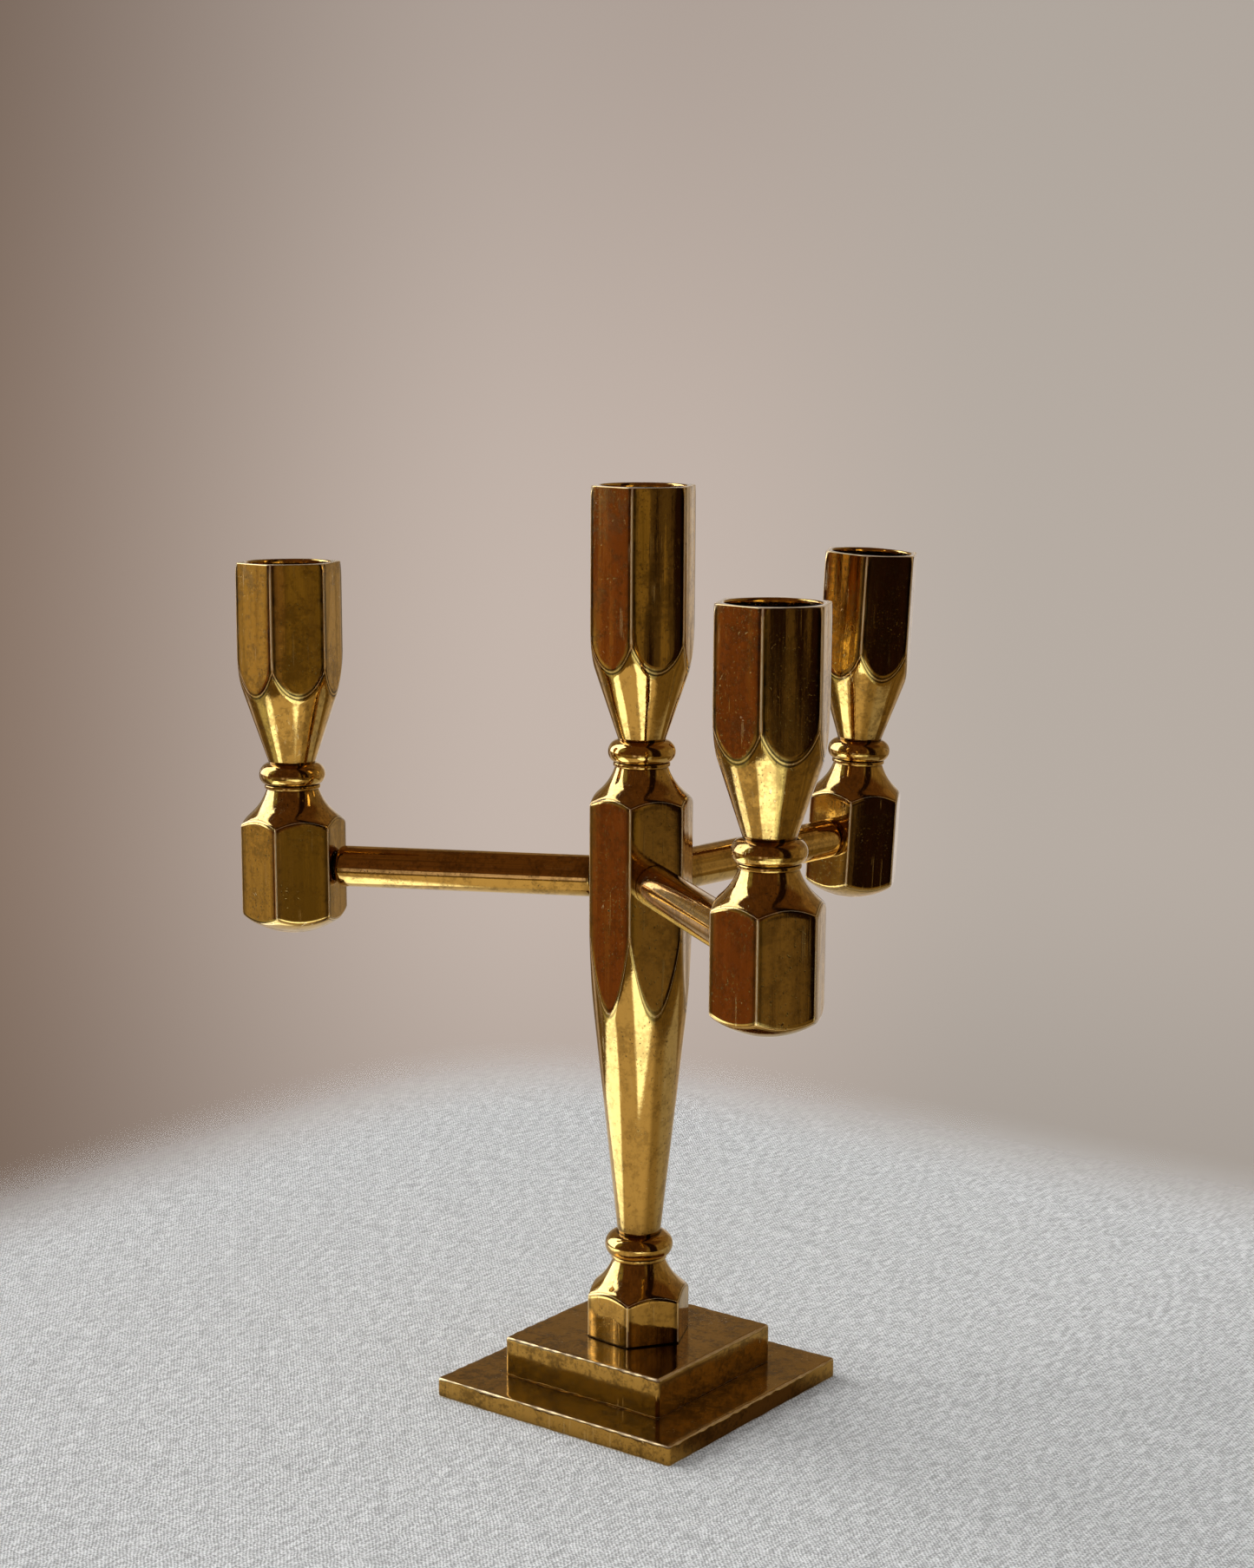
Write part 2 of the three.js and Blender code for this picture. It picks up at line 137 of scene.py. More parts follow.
class Outline:
    """Turned radius along the axis, as a close row of points with rising height."""

    def __init__(self, points: np.ndarray) -> None:
        """Keeps the outline's points.

        Args:
            points: Rows of radius and height, in rising height.
        """
        self.points = points

    def radius(self, height: np.ndarray) -> np.ndarray:
        """Turned radius at a height.

        Args:
            height: Heights along the axis.

        Returns:
            The radii, carried on straight past both ends.
        """
        radii, heights = self.points[:, 0], self.points[:, 1]
        inner = np.interp(height, heights, radii)
        first = (radii[1] - radii[0]) / (heights[1] - heights[0])
        last = (radii[-1] - radii[-2]) / (heights[-1] - heights[-2])
        below = np.minimum(height - heights[0], 0.0) * first
        above = np.maximum(height - heights[-1], 0.0) * last
        return inner + below + above

    def height(self, radius: np.ndarray) -> np.ndarray:
        """Height at which the outline has a radius. The outline only opens or only closes."""
        points = self.points if self.points[-1, 0] > self.points[0, 0] else self.points[::-1]
        return np.interp(radius, points[:, 0], points[:, 1])


@dataclass(frozen=True)
class HexBar:
    """The hexagonal bar that the blocks, the column and the cups are turned from."""

    across_flats: float = 25.3
    edge_round: float = 0.3
    edge_width: float = 0.3
    roll: float = 0.12
    roll_power: int = 5
    columns_deg: tuple[float, ...] = (
        0.0, 0.22, 0.45, 0.7, 1.0, 1.4, 2.0, 2.8, 3.8, 5.0, 6.5, 8.4, 11.0, 14.5, 18.4, 22.4, 26.3,
    )

    @property
    def apothem(self) -> float:
        """Centre to flat."""
        return self.across_flats / 2

    @property
    def corner(self) -> float:
        """Centre to sharp corner."""
        return self.apothem / math.cos(math.pi / 6)

    def angles(self) -> np.ndarray:
        """Angles of the mesh columns, crowded at the corners.

        Returns:
            The angles of all six sides, in turn.
        """
        near = np.array(self.columns_deg)
        flat = np.concatenate([near - 30.0, [0.0], -(near[:0:-1] - 30.0)])
        turns = [flat + 60.0 * side for side in range(6)]
        return np.radians(np.concatenate(turns))

    def from_corner(self, angles: np.ndarray) -> np.ndarray:
        """Angle from the nearest corner."""
        return np.abs((angles % (math.pi / 3)) - math.pi / 6)

    def radius(self, angles: np.ndarray) -> np.ndarray:
        """Centre to surface, with flats that roll off a little towards rounded long edges.

        Args:
            angles: Angles about the axis.

        Returns:
            A radius for each angle.
        """
        away = self.from_corner(angles)
        across = np.tan(math.pi / 6 - away) / math.tan(math.pi / 6)
        flat = self.apothem / np.cos(math.pi / 6 - away) - self.roll * across**self.roll_power
        centre = (self.apothem - self.roll - self.edge_round) / math.cos(math.pi / 6)
        reach = self.edge_round**2 - (centre * np.sin(away)) ** 2
        rounded = centre * np.cos(away) + np.sqrt(np.maximum(reach, 0.0))
        return np.where(reach > 0.0, np.minimum(rounded, flat), flat)

    def edge(self, angles: np.ndarray) -> np.ndarray:
        """How near each column is to a long edge, from 0 to 1."""
        return 1 / (1 + (self.from_corner(angles) * self.corner / self.edge_width) ** 2)


BAR = HexBar()

# How far an outline is carried on past the bar's corners, in millimetres.
BEYOND = 3.0


# ---------------------------------------------------------------- meshes


class Shell:
    """Closed surface made of rings of points, from its first pole or hole to its last."""

    def __init__(self, angles: np.ndarray) -> None:
        """Starts an empty surface.

        Args:
            angles: Angle of each column of points about the axis.
        """
        self.angles = angles
        self.points: list[np.ndarray] = []
        self.wear_and_highlight_rows: list[np.ndarray] = []
        self.grime_and_shade_rows: list[np.ndarray] = []

    def ring(self, x: Any, y: Any, z: Any, edge: Any = 0.0, seam: Any = 0.0) -> None:
        """Adds a ring.

        Args:
            x: Places along x, one for each column.
            y: Places along y.
            z: Heights.
            edge: How bright the ring is painted, as worn metal and a highlight, from 0 to 1.
            seam: How dark the ring is painted, as grime and painted shade, from 0 to 1.
        """
        count = len(self.angles)
        self.points.append(np.stack([np.broadcast_to(v, count) for v in (x, y, z)], axis=1).astype(float))
        self.wear_and_highlight_rows.append(np.broadcast_to(edge, count).astype(float))
        self.grime_and_shade_rows.append(np.broadcast_to(seam, count).astype(float))

    def turn(self, radius: Any, z: Any, edge: Any = 0.0, seam: Any = 0.0) -> None:
        """Adds a ring by its radius about the axis."""
        self.ring(radius * np.cos(self.angles), radius * np.sin(self.angles), z, edge, seam)

    def turn_all(self, outline: Sequence[Sequence[float]], seam: float = 0.0) -> None:
        """Adds a round ring for each row of radius and height."""
        for radius, z in outline:
            self.turn(radius, z, seam=seam)

    def mesh(self, name: str, sharp_deg: float = 32.0) -> bpy.types.Mesh:
        """Builds the mesh in metres, with poles closed and its wear, grime, painted highlight and painted
        shade written as attributes.

        Args:
            name: Name of the mesh.
            sharp_deg: Edges with a larger turn than this stay crisp.

        Returns:
            The mesh.
        """
        count = len(self.angles)
        points, wear_and_highlight_rows, grime_and_shade_rows, starts = [], [], [], []
        for ring, edge, seam in zip(self.points, self.wear_and_highlight_rows, self.grime_and_shade_rows):
            starts.append(sum(len(p) for p in points))
            pole = np.ptp(ring, axis=0).max() < 1e-6
            points.append(ring[:1] if pole else ring)
            wear_and_highlight_rows.append(edge[:1] if pole else edge)
            grime_and_shade_rows.append(seam[:1] if pole else seam)
        faces: list[tuple[int, ...]] = []
        for low, high in zip(range(len(points) - 1), range(1, len(points))):
            a, b = starts[low], starts[high]
            for i in range(count):
                j = (i + 1) % count
                if len(points[low]) == 1:
                    faces.append((a, b + j, b + i))
                elif len(points[high]) == 1:
                    faces.append((a + i, a + j, b))
                else:
                    faces.append((a + i, a + j, b + j, b + i))
        mesh = bpy.data.meshes.new(name)
        mesh.from_pydata((np.concatenate(points) * MM).tolist(), [], faces)
        # The edge attribute paints worn metal and a highlight; the seam attribute paints grime and shade.
        for title, rows in (("edge", wear_and_highlight_rows), ("seam", grime_and_shade_rows)):
            attribute = mesh.attributes.new(title, "FLOAT", "POINT")
            attribute.data.foreach_set("value", np.concatenate(rows).astype(np.float32))
        places = mesh.attributes.new("place", "FLOAT_VECTOR", "POINT")
        # A shift by name gives every piece blotches and scratches of its own.
        apart = 40.0 * (sum(map(ord, name)) % 89)
        places.data.foreach_set("vector", (np.concatenate(points) + apart).astype(np.float32).ravel())
        mesh.shade_smooth()
        mesh.set_sharp_from_angle(angle=math.radians(sharp_deg))
        mesh.update()
        return mesh


class BarShell(Shell):
    """Surface turned out of the hexagonal bar."""

    def __init__(self) -> None:
        """Starts an empty surface with the bar's columns."""
        super().__init__(BAR.angles())
        self.hexagon = BAR.radius(self.angles)
        self.corner = BAR.edge(self.angles)

    def cut(self, outline: Outline, z: np.ndarray, crease: Crease) -> None:
        """Adds a ring where the bar cuts the outline off at an eased crease.

        Args:
            outline: The turned line.
            z: Height in each column.
            crease: How the crease is eased.
        """
        turned = outline.radius(z)
        radius, near = crease.join(turned, self.hexagon)
        flat = np.clip((turned - self.hexagon) / crease.blend + 0.5, 0.0, 1.0)
        # The crease is painted bright as a highlight, and the long edges as worn metal and a highlight.
        self.turn(radius, z, np.maximum(near**4 * crease.painted_highlight, self.corner * flat))

    def crease(self, outline: Outline) -> np.ndarray:
        """Height in each column where the outline meets the bar."""
        return outline.height(self.hexagon)


@dataclass(frozen=True)
class StudHole:
    """Blind hole for a stud, its walls painted dark as shade."""

    radius: float = 3.3
    depth: float = 9.3

    def from_below(self, shell: Shell, z: float) -> None:
        """Starts a shell with a hole in its lower face."""
        shell.turn_all([(0.0, z + self.depth), (self.radius, z + self.depth), (self.radius, z)], 1.0)

    def from_above(self, shell: Shell, z: float) -> None:
        """Ends a shell with a hole in its upper face."""
        shell.turn_all([(self.radius, z), (self.radius, z - self.depth), (0.0, z - self.depth)], 1.0)


@dataclass(frozen=True)
class Neck:
    """Hollow neck with a collar, at the top of every block."""

    flare_deg: float = 48.0
    top_deg: float = 17.0
    radius: float = 7.05
    curve: float = 14.5
    collar_radius: float = 7.6
    collar_height: float = 1.2
    collar_round: float = 0.35
    crease: Crease = Crease(1.0)
    hole: StudHole = StudHole()

    def flare_rise(self, radius: float) -> float:
        """Rise of the straight flare from a radius up to where the curve starts."""
        span = self.curve * (math.cos(math.radians(self.top_deg)) - math.cos(math.radians(self.flare_deg)))
        return (radius - self.radius - span) / math.tan(math.radians(self.flare_deg))

    @property
    def height(self) -> float:
        """Rise from the bar's sharp corners to the collar."""
        span = math.sin(math.radians(self.flare_deg)) - math.sin(math.radians(self.top_deg))
        return self.flare_rise(BAR.corner) + self.curve * span

    @property
    def rise(self) -> float:
        """Rise from the bar's sharp corners to the top of the collar."""
        return self.height + self.collar_height

    def outline(self, corner_z: float) -> Outline:
        """Turned line of the neck, from below the bar's corners up to the collar.

        Args:
            corner_z: Height of the bar's sharp corners under the neck.

        Returns:
            The outline.
        """
        tip = math.radians(self.top_deg)
        top = corner_z + self.height
        centre = (self.radius + self.curve * math.cos(tip), top + self.curve * math.sin(tip))
        curve = arc(centre, self.curve, 180 + self.flare_deg, 180 + self.top_deg, 24)
        wide = BAR.corner + BEYOND
        start = corner_z + self.flare_rise(BAR.corner) - self.flare_rise(wide)
        return Outline(np.vstack([[wide, start], curve]))

    def finish(self, shell: BarShell, corner_z: float, flat_from: np.ndarray) -> None:
        """Carries a shell's flats up over the neck and the collar and down the stud hole.

        Args:
            shell: The shell to carry on.
            corner_z: Height of the bar's sharp corners under the neck.
            flat_from: Heights where the flats were left.
        """
        outline = self.outline(corner_z)
        crease = shell.crease(outline)
        for share in 1 - eased(11, power=2.6)[:0:-1]:
            shell.cut(outline, flat_from + (crease - flat_from) * share, self.crease)
        top = corner_z + self.height
        for share in eased(22, power=1.5)[:-1]:
            shell.cut(outline, crease + (top - crease) * share, self.crease)
        bend, rim = self.collar_round, self.collar_radius - self.collar_round
        upper = top + self.collar_height
        # The collar is painted dark as grime and shade where it meets the neck and on its top face.
        shell.turn_all([(self.radius, top), (self.radius + 5 * HAIR, top + 3 * HAIR)], seam=0.75)
        shell.turn_all(arc((rim, top + bend + HAIR), bend, -80, 0, 4))
        shell.turn_all(arc((rim, upper - bend - HAIR), bend, 0, 80, 4))
        shell.turn(rim - 15 * HAIR, upper, seam=0.8)
        self.hole.from_above(shell, upper)


@dataclass(frozen=True)
class Bead:
    """Round bead that starts the column and every cup."""

    radius: float = 9.0
    section: float = 3.3
    drop: float = 2.35
    hole: StudHole = StudHole()

    def start(self, shell: Shell, z: float, waist: float) -> tuple[float, float]:
        """Starts a shell with the stud hole and the bead.

        Args:
            shell: An empty shell.
            z: Height of the joint face.
            waist: Radius at which the taper above takes over.

        Returns:
            Radius and height of that waist.
        """
        centre = (self.radius - self.section, z + self.drop)
        low = -math.degrees(math.asin(self.drop / self.section))
        high = math.degrees(math.acos((waist - centre[0]) / self.section))
        self.hole.from_below(shell, z)
        line = arc(centre, self.section, low, high, 30)
        # The joint face and the crease above the bead are painted dark as grime and shade.
        shell.turn(line[0, 0] - 30 * HAIR, z, seam=0.9)
        shell.turn(line[0, 0], z + 4 * HAIR, seam=0.6)
        shell.turn_all(line[1:-2])
        shell.turn(line[-2, 0], line[-2, 1], seam=0.4)
        shell.turn(waist, line[-1, 1], seam=1.0)
        return waist, float(line[-1, 1])


@dataclass(frozen=True)
class Taper:
    """Straight taper that opens into a shoulder and runs out past the bar's corners."""

    slope_deg: float
    shoulder: float
    curve: float
    crease: Crease
    before: float = 1.25
    after: float = 1.4

    def outline(self, waist: tuple[float, float]) -> Outline:
        """Turned line from the waist upwards.

        Args:
            waist: Radius and height where the taper starts.

        Returns:
            The outline.
        """
        lean = math.radians(self.slope_deg)
        turn = waist[1] + (self.shoulder - waist[0]) / math.tan(lean)
        centre = (self.shoulder - self.curve * math.cos(lean), turn + self.curve * math.sin(lean))
        reach = min(1.0, (BAR.corner - centre[0]) / self.curve)
        curve = arc(centre, self.curve, -self.slope_deg, -math.degrees(math.acos(reach)), 32)
        return Outline(np.vstack([[waist], curve]))

    def run(self, shell: BarShell, waist: tuple[float, float], until: float) -> np.ndarray:
        """Carries a shell up the taper and over the shoulder's crease onto the flats.

        Args:
            shell: The shell to carry on.
            waist: Radius and height where the taper starts.
            until: Height at which the flats are left again.

        Returns:
            The heights where the flats were left.
        """
        outline = self.outline(waist)
        easing = self.crease.blend / math.tan(math.radians(self.slope_deg))
        straight = float(outline.height(np.array(BAR.apothem - 2.5 * self.crease.blend)))
        foot = waist[1] + 6 * HAIR
        # The foot of the taper, above the bead, is painted dark as grime and shade, fading upwards.
        shell.turn(waist[0] + 2 * HAIR, foot, seam=0.7)
        for share in eased(14, power=1.2)[1:]:
            z = foot + (straight - foot) * share
            shell.turn(outline.radius(np.array(z)), z, seam=0.35 * max(0.0, 1 - 6 * share))
        crease = shell.crease(outline)
        onset = crease - easing * self.before
        for share in eased(5, power=1.0)[1:-1]:
            shell.cut(outline, straight + (onset - straight) * share, self.crease)
        for step in np.linspace(-self.before, self.after, 26):
            shell.cut(outline, crease + easing * step, self.crease)
        left = crease + easing * self.after
        for share in eased(8, power=1.5)[1:]:
            shell.cut(outline, left + (until - left) * share, self.crease)
        return np.full(len(shell.angles), until)


# ---------------------------------------------------------------- shader maths


@dataclass(frozen=True)
class Grain:
    """Size and character of a noise, and how it is drawn out along an axis."""

    scale: float
    detail: float = 2.0
    rough: float = 0.5
    warp: float = 0.0
    stretch: tuple[float, float, float] | None = None
    turn_deg: tuple[float, float, float] = (0.0, 0.0, 0.0)


class Wire:
    """A shader value that takes part in Python arithmetic."""

    def __init__(self, sheet: "NodeSheet", socket: bpy.types.NodeSocket) -> None:
        """Wraps an output socket.

        Args:
            sheet: The sheet that the socket's node is on.
            socket: The output socket.
        """
        self.sheet = sheet
        self.socket = socket

    def _math(self, operation: str, *values: Any) -> "Wire":
        """Adds one Math node on the given values."""
        return self.sheet.math(operation, *values)

    def __add__(self, other: Any) -> "Wire":
        """Sum."""
        return self._math("ADD", self, other)

    __radd__ = __add__

    def __sub__(self, other: Any) -> "Wire":
        """Difference."""
        return self._math("SUBTRACT", self, other)

    def __rsub__(self, other: Any) -> "Wire":
        """Difference from a number."""
        return self._math("SUBTRACT", other, self)

    def __mul__(self, other: Any) -> "Wire":
        """Product."""
        return self._math("MULTIPLY", self, other)

    __rmul__ = __mul__

    def __truediv__(self, other: Any) -> "Wire":
        """Quotient."""
        return self._math("DIVIDE", self, other)

    def __pow__(self, other: Any) -> "Wire":
        """Power."""
        return self._math("POWER", self, other)

    def at_least(self, other: Any) -> "Wire":
        """The larger of two values."""
        return self._math("MAXIMUM", self, other)

    def at_most(self, other: Any) -> "Wire":
        """The smaller of two values."""
        return self._math("MINIMUM", self, other)

    def step(self, low: float, high: float) -> "Wire":
        """Smooth step.

        Args:
            low: Value at which the step is 0.
            high: Value at which it is 1.

        Returns:
            The step's value.
        """
        settings = {"interpolation_type": "SMOOTHSTEP"}
        values = {"Value": self, "From Min": low, "From Max": high}
        return self.sheet.node("ShaderNodeMapRange", settings, values)


class NodeSheet:
    """The node tree of one material or world."""

    def __init__(self, owner: Any) -> None:
        """Clears the tree of its owner.

        Args:
            owner: A material or a world.
        """
        owner.use_nodes = True
        self.tree = owner.node_tree
        self.tree.nodes.clear()

    def node(self, kind: str, settings: dict[str, Any], values: dict[Any, Any], output: Any = 0) -> Wire:
        """Adds one node.

        Args:
            kind: Type of the node.
            settings: Properties, which are set first.
            values: Numbers, colours or wires for its inputs, by name or number.
            output: Name or number of the output to hand back.

        Returns:
            The output's wire.
        """
        node = self.tree.nodes.new(kind)
        for key, value in settings.items():
            setattr(node, key, value)
        for key, value in values.items():
            if isinstance(value, Wire):
                self.tree.links.new(value.socket, node.inputs[key])
            else:
                node.inputs[key].default_value = value
        return Wire(self, node.outputs[output] if node.outputs else None)

    def math(self, operation: str, *values: Any) -> Wire:
        """One Math node on the given values."""
        return self.node("ShaderNodeMath", {"operation": operation}, dict(enumerate(values)))

    def noise(self, where: Wire, grain: Grain) -> Wire:
        """Noise at a place.

        Args:
            where: The place.
            grain: Size and character of the noise.

        Returns:
            A value about 0.5.
        """
        if grain.stretch:
            turn = [math.radians(v) for v in grain.turn_deg]
            values = {"Vector": where, "Rotation": turn, "Scale": grain.stretch}
            where = self.node("ShaderNodeMapping", {}, values)
        values = {"Vector": where, "Scale": grain.scale, "Detail": grain.detail}
        values |= {"Roughness": grain.rough, "Distortion": grain.warp}
        return self.node("ShaderNodeTexNoise", {"noise_dimensions": "3D"}, values)

    def mix(self, share: Any, low: Any, high: Any) -> Wire:
        """Mix of two colours."""
        values = {"Factor": share, 6: low, 7: high}
        return self.node("ShaderNodeMix", {"data_type": "RGBA"}, values, 2)

    def scaled(self, colour: Wire, share: Wire) -> Wire:
        """A colour made brighter or darker."""
        return self.node("ShaderNodeVectorMath", {"operation": "SCALE"}, {0: colour, "Scale": share})

    def attribute(self, name: str, output: str = "Fac") -> Wire:
        """Value that the mesh holds for each of its points."""
        return self.node("ShaderNodeAttribute", {"attribute_name": name}, {}, output)

    def axes(self, place: Wire) -> list[Wire]:
        """The x, y and z of a place."""
        split = self.node("ShaderNodeSeparateXYZ", {}, {"Vector": place})
        return [Wire(self, output) for output in split.socket.node.outputs]

    def bump(self, height: Wire, depth: float, strength: float = 1.0) -> Wire:
        """Normal of a surface with a small relief, its depth in metres."""
        values = {"Strength": strength, "Distance": depth, "Height": height}
        return self.node("ShaderNodeBump", {}, values)

    def surface(self, values: dict[str, Any]) -> Wire:
        """Surface shader with the given inputs."""
        return self.node("ShaderNodeBsdfPrincipled", {}, values)

    def blend(self, share: Wire, first: Wire, second: Wire) -> Wire:
        """Mix of two shaders."""
        return self.node("ShaderNodeMixShader", {}, {0: share, 1: first, 2: second})

    def show(self, surface: Wire, kind: str = "Material") -> None:
        """Makes a shader the sheet's output."""
        self.node("ShaderNodeOutput" + kind, {}, {"Surface": surface})


Colour = tuple[float, float, float, float]


def rgb(red: float, green: float, blue: float) -> Colour:
    """An opaque linear colour."""
    return (red, green, blue, 1.0)


@dataclass(frozen=True)
class AgedBrass:
    """Polished brass that has aged: ripples, drawn streaks, blotches, pits, scratches, worn edges with a
    painted highlight, grime and painted shade in seams, and painted shade beside edges.
    """

    title: str
    clean: Colour = rgb(0.72, 0.455, 0.13)
    brown: Colour = rgb(0.27, 0.155, 0.04)
    grime_and_shade_colour: Colour = rgb(0.045, 0.028, 0.012)
    rubbed_and_highlight: Colour = rgb(0.95, 0.77, 0.49)
    tarnish: float = 0.62
    roughness: float = 0.035
    ripple: float = 16.0
    streaks: float = 0.5
    pits: float = 0.5
    scratches: float = 0.7
    # Share of the worn edges that is painted bright: worn metal and a painted highlight.
    worn: float = 0.85
    film: float = 0.04
    shade_beside_edges: float = 0.85
    streak_share: float = 0.16
    grime_and_shade_weight: float = 0.85
    scratch_shine: float = 0.3
    chip_shine: float = 0.7
    stain_roughness: float = 0.12
    streak_roughness: float = 0.05
    cloud_roughness: float = 0.02
    chip_roughness: float = 0.15
    scratch_roughness: float = 0.15
    cloud_relief: float = 0.9
    mottle_relief: float = 0.25
    scratch_depth: float = 0.4
    pit_depth: float = 0.8
    relief: float = 0.00002
    least_roughness: float = 0.03
    film_roughness: float = 0.5
    rubbed_and_highlight_metallic: float = 0.6
    rubbed_and_highlight_roughness: float = 0.35
    blotches: Grain = Grain(0.055, 4.0, 0.55, 0.4)
    clouds: Grain = Grain(0.26, 3.0, 0.6)
    mottling: Grain = Grain(0.85, 3.0, 0.65)
    drawing: Grain = Grain(0.9, 3.0, 0.6, stretch=(1.0, 1.0, 0.03))
    waves: Grain = Grain(0.13, 1.0, stretch=(1.0, 1.0, 0.14))
    dots: Grain = Grain(1.7, 1.0, 0.4)
    chips: Grain = Grain(0.3, 3.0, 0.6, 0.8)
    patches: Grain = Grain(0.09, 1.0)
    lines: tuple[Grain, ...] = (
        Grain(1.3, 0.0, stretch=(1.0, 1.0, 0.035), turn_deg=(24.0, 38.0, 10.0)),
        Grain(1.3, 0.0, stretch=(1.0, 1.0, 0.035), turn_deg=(-52.0, 17.0, 70.0)),
    )
    stain_from: Range = (0.64, 0.83)
    streak_from: Range = (0.46, 0.72)
    dot_from: Range = (0.68, 0.75)
    pit_patch_from: Range = (0.40, 0.58)
    chip_from: Range = (0.725, 0.74)
    line_from: Range = (0.735, 0.765)
    patch_from: Range = (0.5, 0.62)
    shade_beside_edges_from: Range = (0.01, 0.12)
    shade_beside_edges_to: Range = (0.3, 0.5)
    film_from: Range = (0.35, 0.65)
    worn_and_highlight_from: Range = (0.42, 0.9)

    def scratched(self, sheet: NodeSheet, place: Wire) -> Wire:
        """Fine straight scratches in two directions, in patches.

        Args:
            sheet: The material's sheet.
            place: Where on the piece.

        Returns:
            How deep the scratches are, from 0 to 1.
        """
        cuts: Wire | float = 0.0
        for grain in self.lines:
            cuts = sheet.noise(place, grain).step(*self.line_from) + cuts
        return cuts * sheet.noise(place, self.patches).step(*self.patch_from)

    def material(self) -> bpy.types.Material:
        """Builds the material.

        Returns:
            The material.
        """
        material = bpy.data.materials.new(self.title)
        sheet = NodeSheet(material)
        place = sheet.attribute("place", "Vector")
        edge, seam = sheet.attribute("edge"), sheet.attribute("seam")
        blotch, cloud = sheet.noise(place, self.blotches), sheet.noise(place, self.clouds)
        mottle, drawn = sheet.noise(place, self.mottling), sheet.noise(place, self.drawing)
        pit = sheet.noise(place, self.dots).step(*self.dot_from) * blotch.step(*self.pit_patch_from)
        chip = sheet.noise(place, self.chips).step(*self.chip_from)
        cuts = self.scratched(sheet, place) * self.scratches
        stain = blotch * 0.45 + cloud * 0.5 + mottle * 0.45 - edge * 0.3
        aged = stain.step(*self.stain_from) * self.tarnish
        streak = drawn.step(*self.streak_from) * (self.streak_share * self.streaks)

        # Clean metal, brown stains, grime and painted shade in seams, pits, painted shade beside edges,
        # then scratches and chips.
        tint = sheet.mix((aged + streak).at_most(1.0), self.clean, self.brown)
        # A band beside the edges and creases is painted darker, as shade.
        painted_shade_beside = edge.step(*self.shade_beside_edges_from) * (1 - edge.step(*self.shade_beside_edges_to))
        painted_shade_beside = painted_shade_beside * (cloud + 0.5) * self.shade_beside_edges
        grime_and_shade_share = seam * self.grime_and_shade_weight + pit * self.pits + painted_shade_beside
        tint = sheet.mix(grime_and_shade_share.at_most(1.0), tint, self.grime_and_shade_colour)
        shiny = cuts * self.scratch_shine + chip * self.chip_shine
        tint = sheet.mix(shiny.at_most(1.0), tint, self.rubbed_and_highlight)

        rough = aged * self.stain_roughness + streak * self.streak_roughness + self.roughness
        rough = rough + cloud * self.cloud_roughness + chip * self.chip_roughness
        rough = rough + cuts * self.scratch_roughness
        film = (cloud.step(*self.film_from) + 0.5) * self.film
        height = sheet.noise(place, self.waves) * self.ripple + drawn * self.streaks
        height = height + cloud * self.cloud_relief + mottle * self.mottle_relief
        height = height - cuts * self.scratch_depth - pit * self.pit_depth
        normal = sheet.bump(height, self.relief)
        metal = sheet.surface({
            "Base Color": tint, "Metallic": 1.0, "Roughness": rough.at_least(self.least_roughness),
            "Coat Weight": film.at_most(1.0), "Coat Roughness": self.film_roughness, "Normal": normal,
        })
        worn_and_highlight_surface = sheet.surface({
            "Base Color": self.rubbed_and_highlight, "Metallic": self.rubbed_and_highlight_metallic,
            "Roughness": self.rubbed_and_highlight_roughness, "Normal": normal,
        })
        # Worn edges are mixed with a bright surface: worn metal and a painted highlight.
        share = edge.step(*self.worn_and_highlight_from) * (cloud * 0.9 + 0.2).at_most(1.0) * self.worn
        sheet.show(sheet.blend(share, metal, worn_and_highlight_surface))
        return material


@dataclass(frozen=True)
class TurnedSteel:
    """Plain turned steel of the studs and the bolt."""

    title: str = "turned_steel"
    base: Colour = rgb(0.42, 0.42, 0.43)
    dull: Colour = rgb(0.20, 0.19, 0.18)
    ridges: Grain = Grain(2600.0, stretch=(0.05, 0.05, 1.0))
    stains: Grain = Grain(300.0, 3.0)
    stain_from: Range = (0.4, 0.7)
    roughness: float = 0.28
    stain_roughness: float = 0.2
    relief: float = 0.00003

    def material(self) -> bpy.types.Material:
        """Builds the material.

        Returns:
            The material.
        """
        material = bpy.data.materials.new(self.title)
        sheet = NodeSheet(material)
        place = sheet.node("ShaderNodeTexCoord", {}, {}, "Object")
        stain = sheet.noise(place, self.stains).step(*self.stain_from)
        normal = sheet.bump(sheet.noise(place, self.ridges), self.relief)
        sheet.show(sheet.surface({
            "Base Color": sheet.mix(stain, self.base, self.dull), "Metallic": 1.0,
            "Roughness": stain * self.stain_roughness + self.roughness, "Normal": normal,
        }))
        return material


class Finish(Enum):
    """Finishes of the pieces, each with the record's material slot."""

    CUP = ("cup_brass", AgedBrass("cup_brass_polished"))
    STEM = (
        "stem_brass",
        AgedBrass(
            "stem_brass_polished", rgb(0.66, 0.42, 0.125),
            tarnish=0.5, ripple=10.0, pits=0.8, shade_beside_edges=0.6,
        ),
    )
    ROD = ("rod_brass", AgedBrass("rod_brass_polished", ripple=1.2))
    BASE = (
        "base_brass",
        AgedBrass(
            "base_brass_tarnished", rgb(0.56, 0.36, 0.11), rgb(0.22, 0.135, 0.04),
            tarnish=0.85, roughness=0.08, ripple=6.0, pits=0.8, worn=0.6, shade_beside_edges=0.6,
        ),
    )
    STEEL = ("steel", TurnedSteel())

    @property
    def slot(self) -> str:
        """The record's material slot."""
        return self.value[0]

    def material(self) -> bpy.types.Material:
        """The finish's material, made when it is first asked for."""
        recipe = self.value[1]
        return bpy.data.materials.get(recipe.title) or recipe.material()


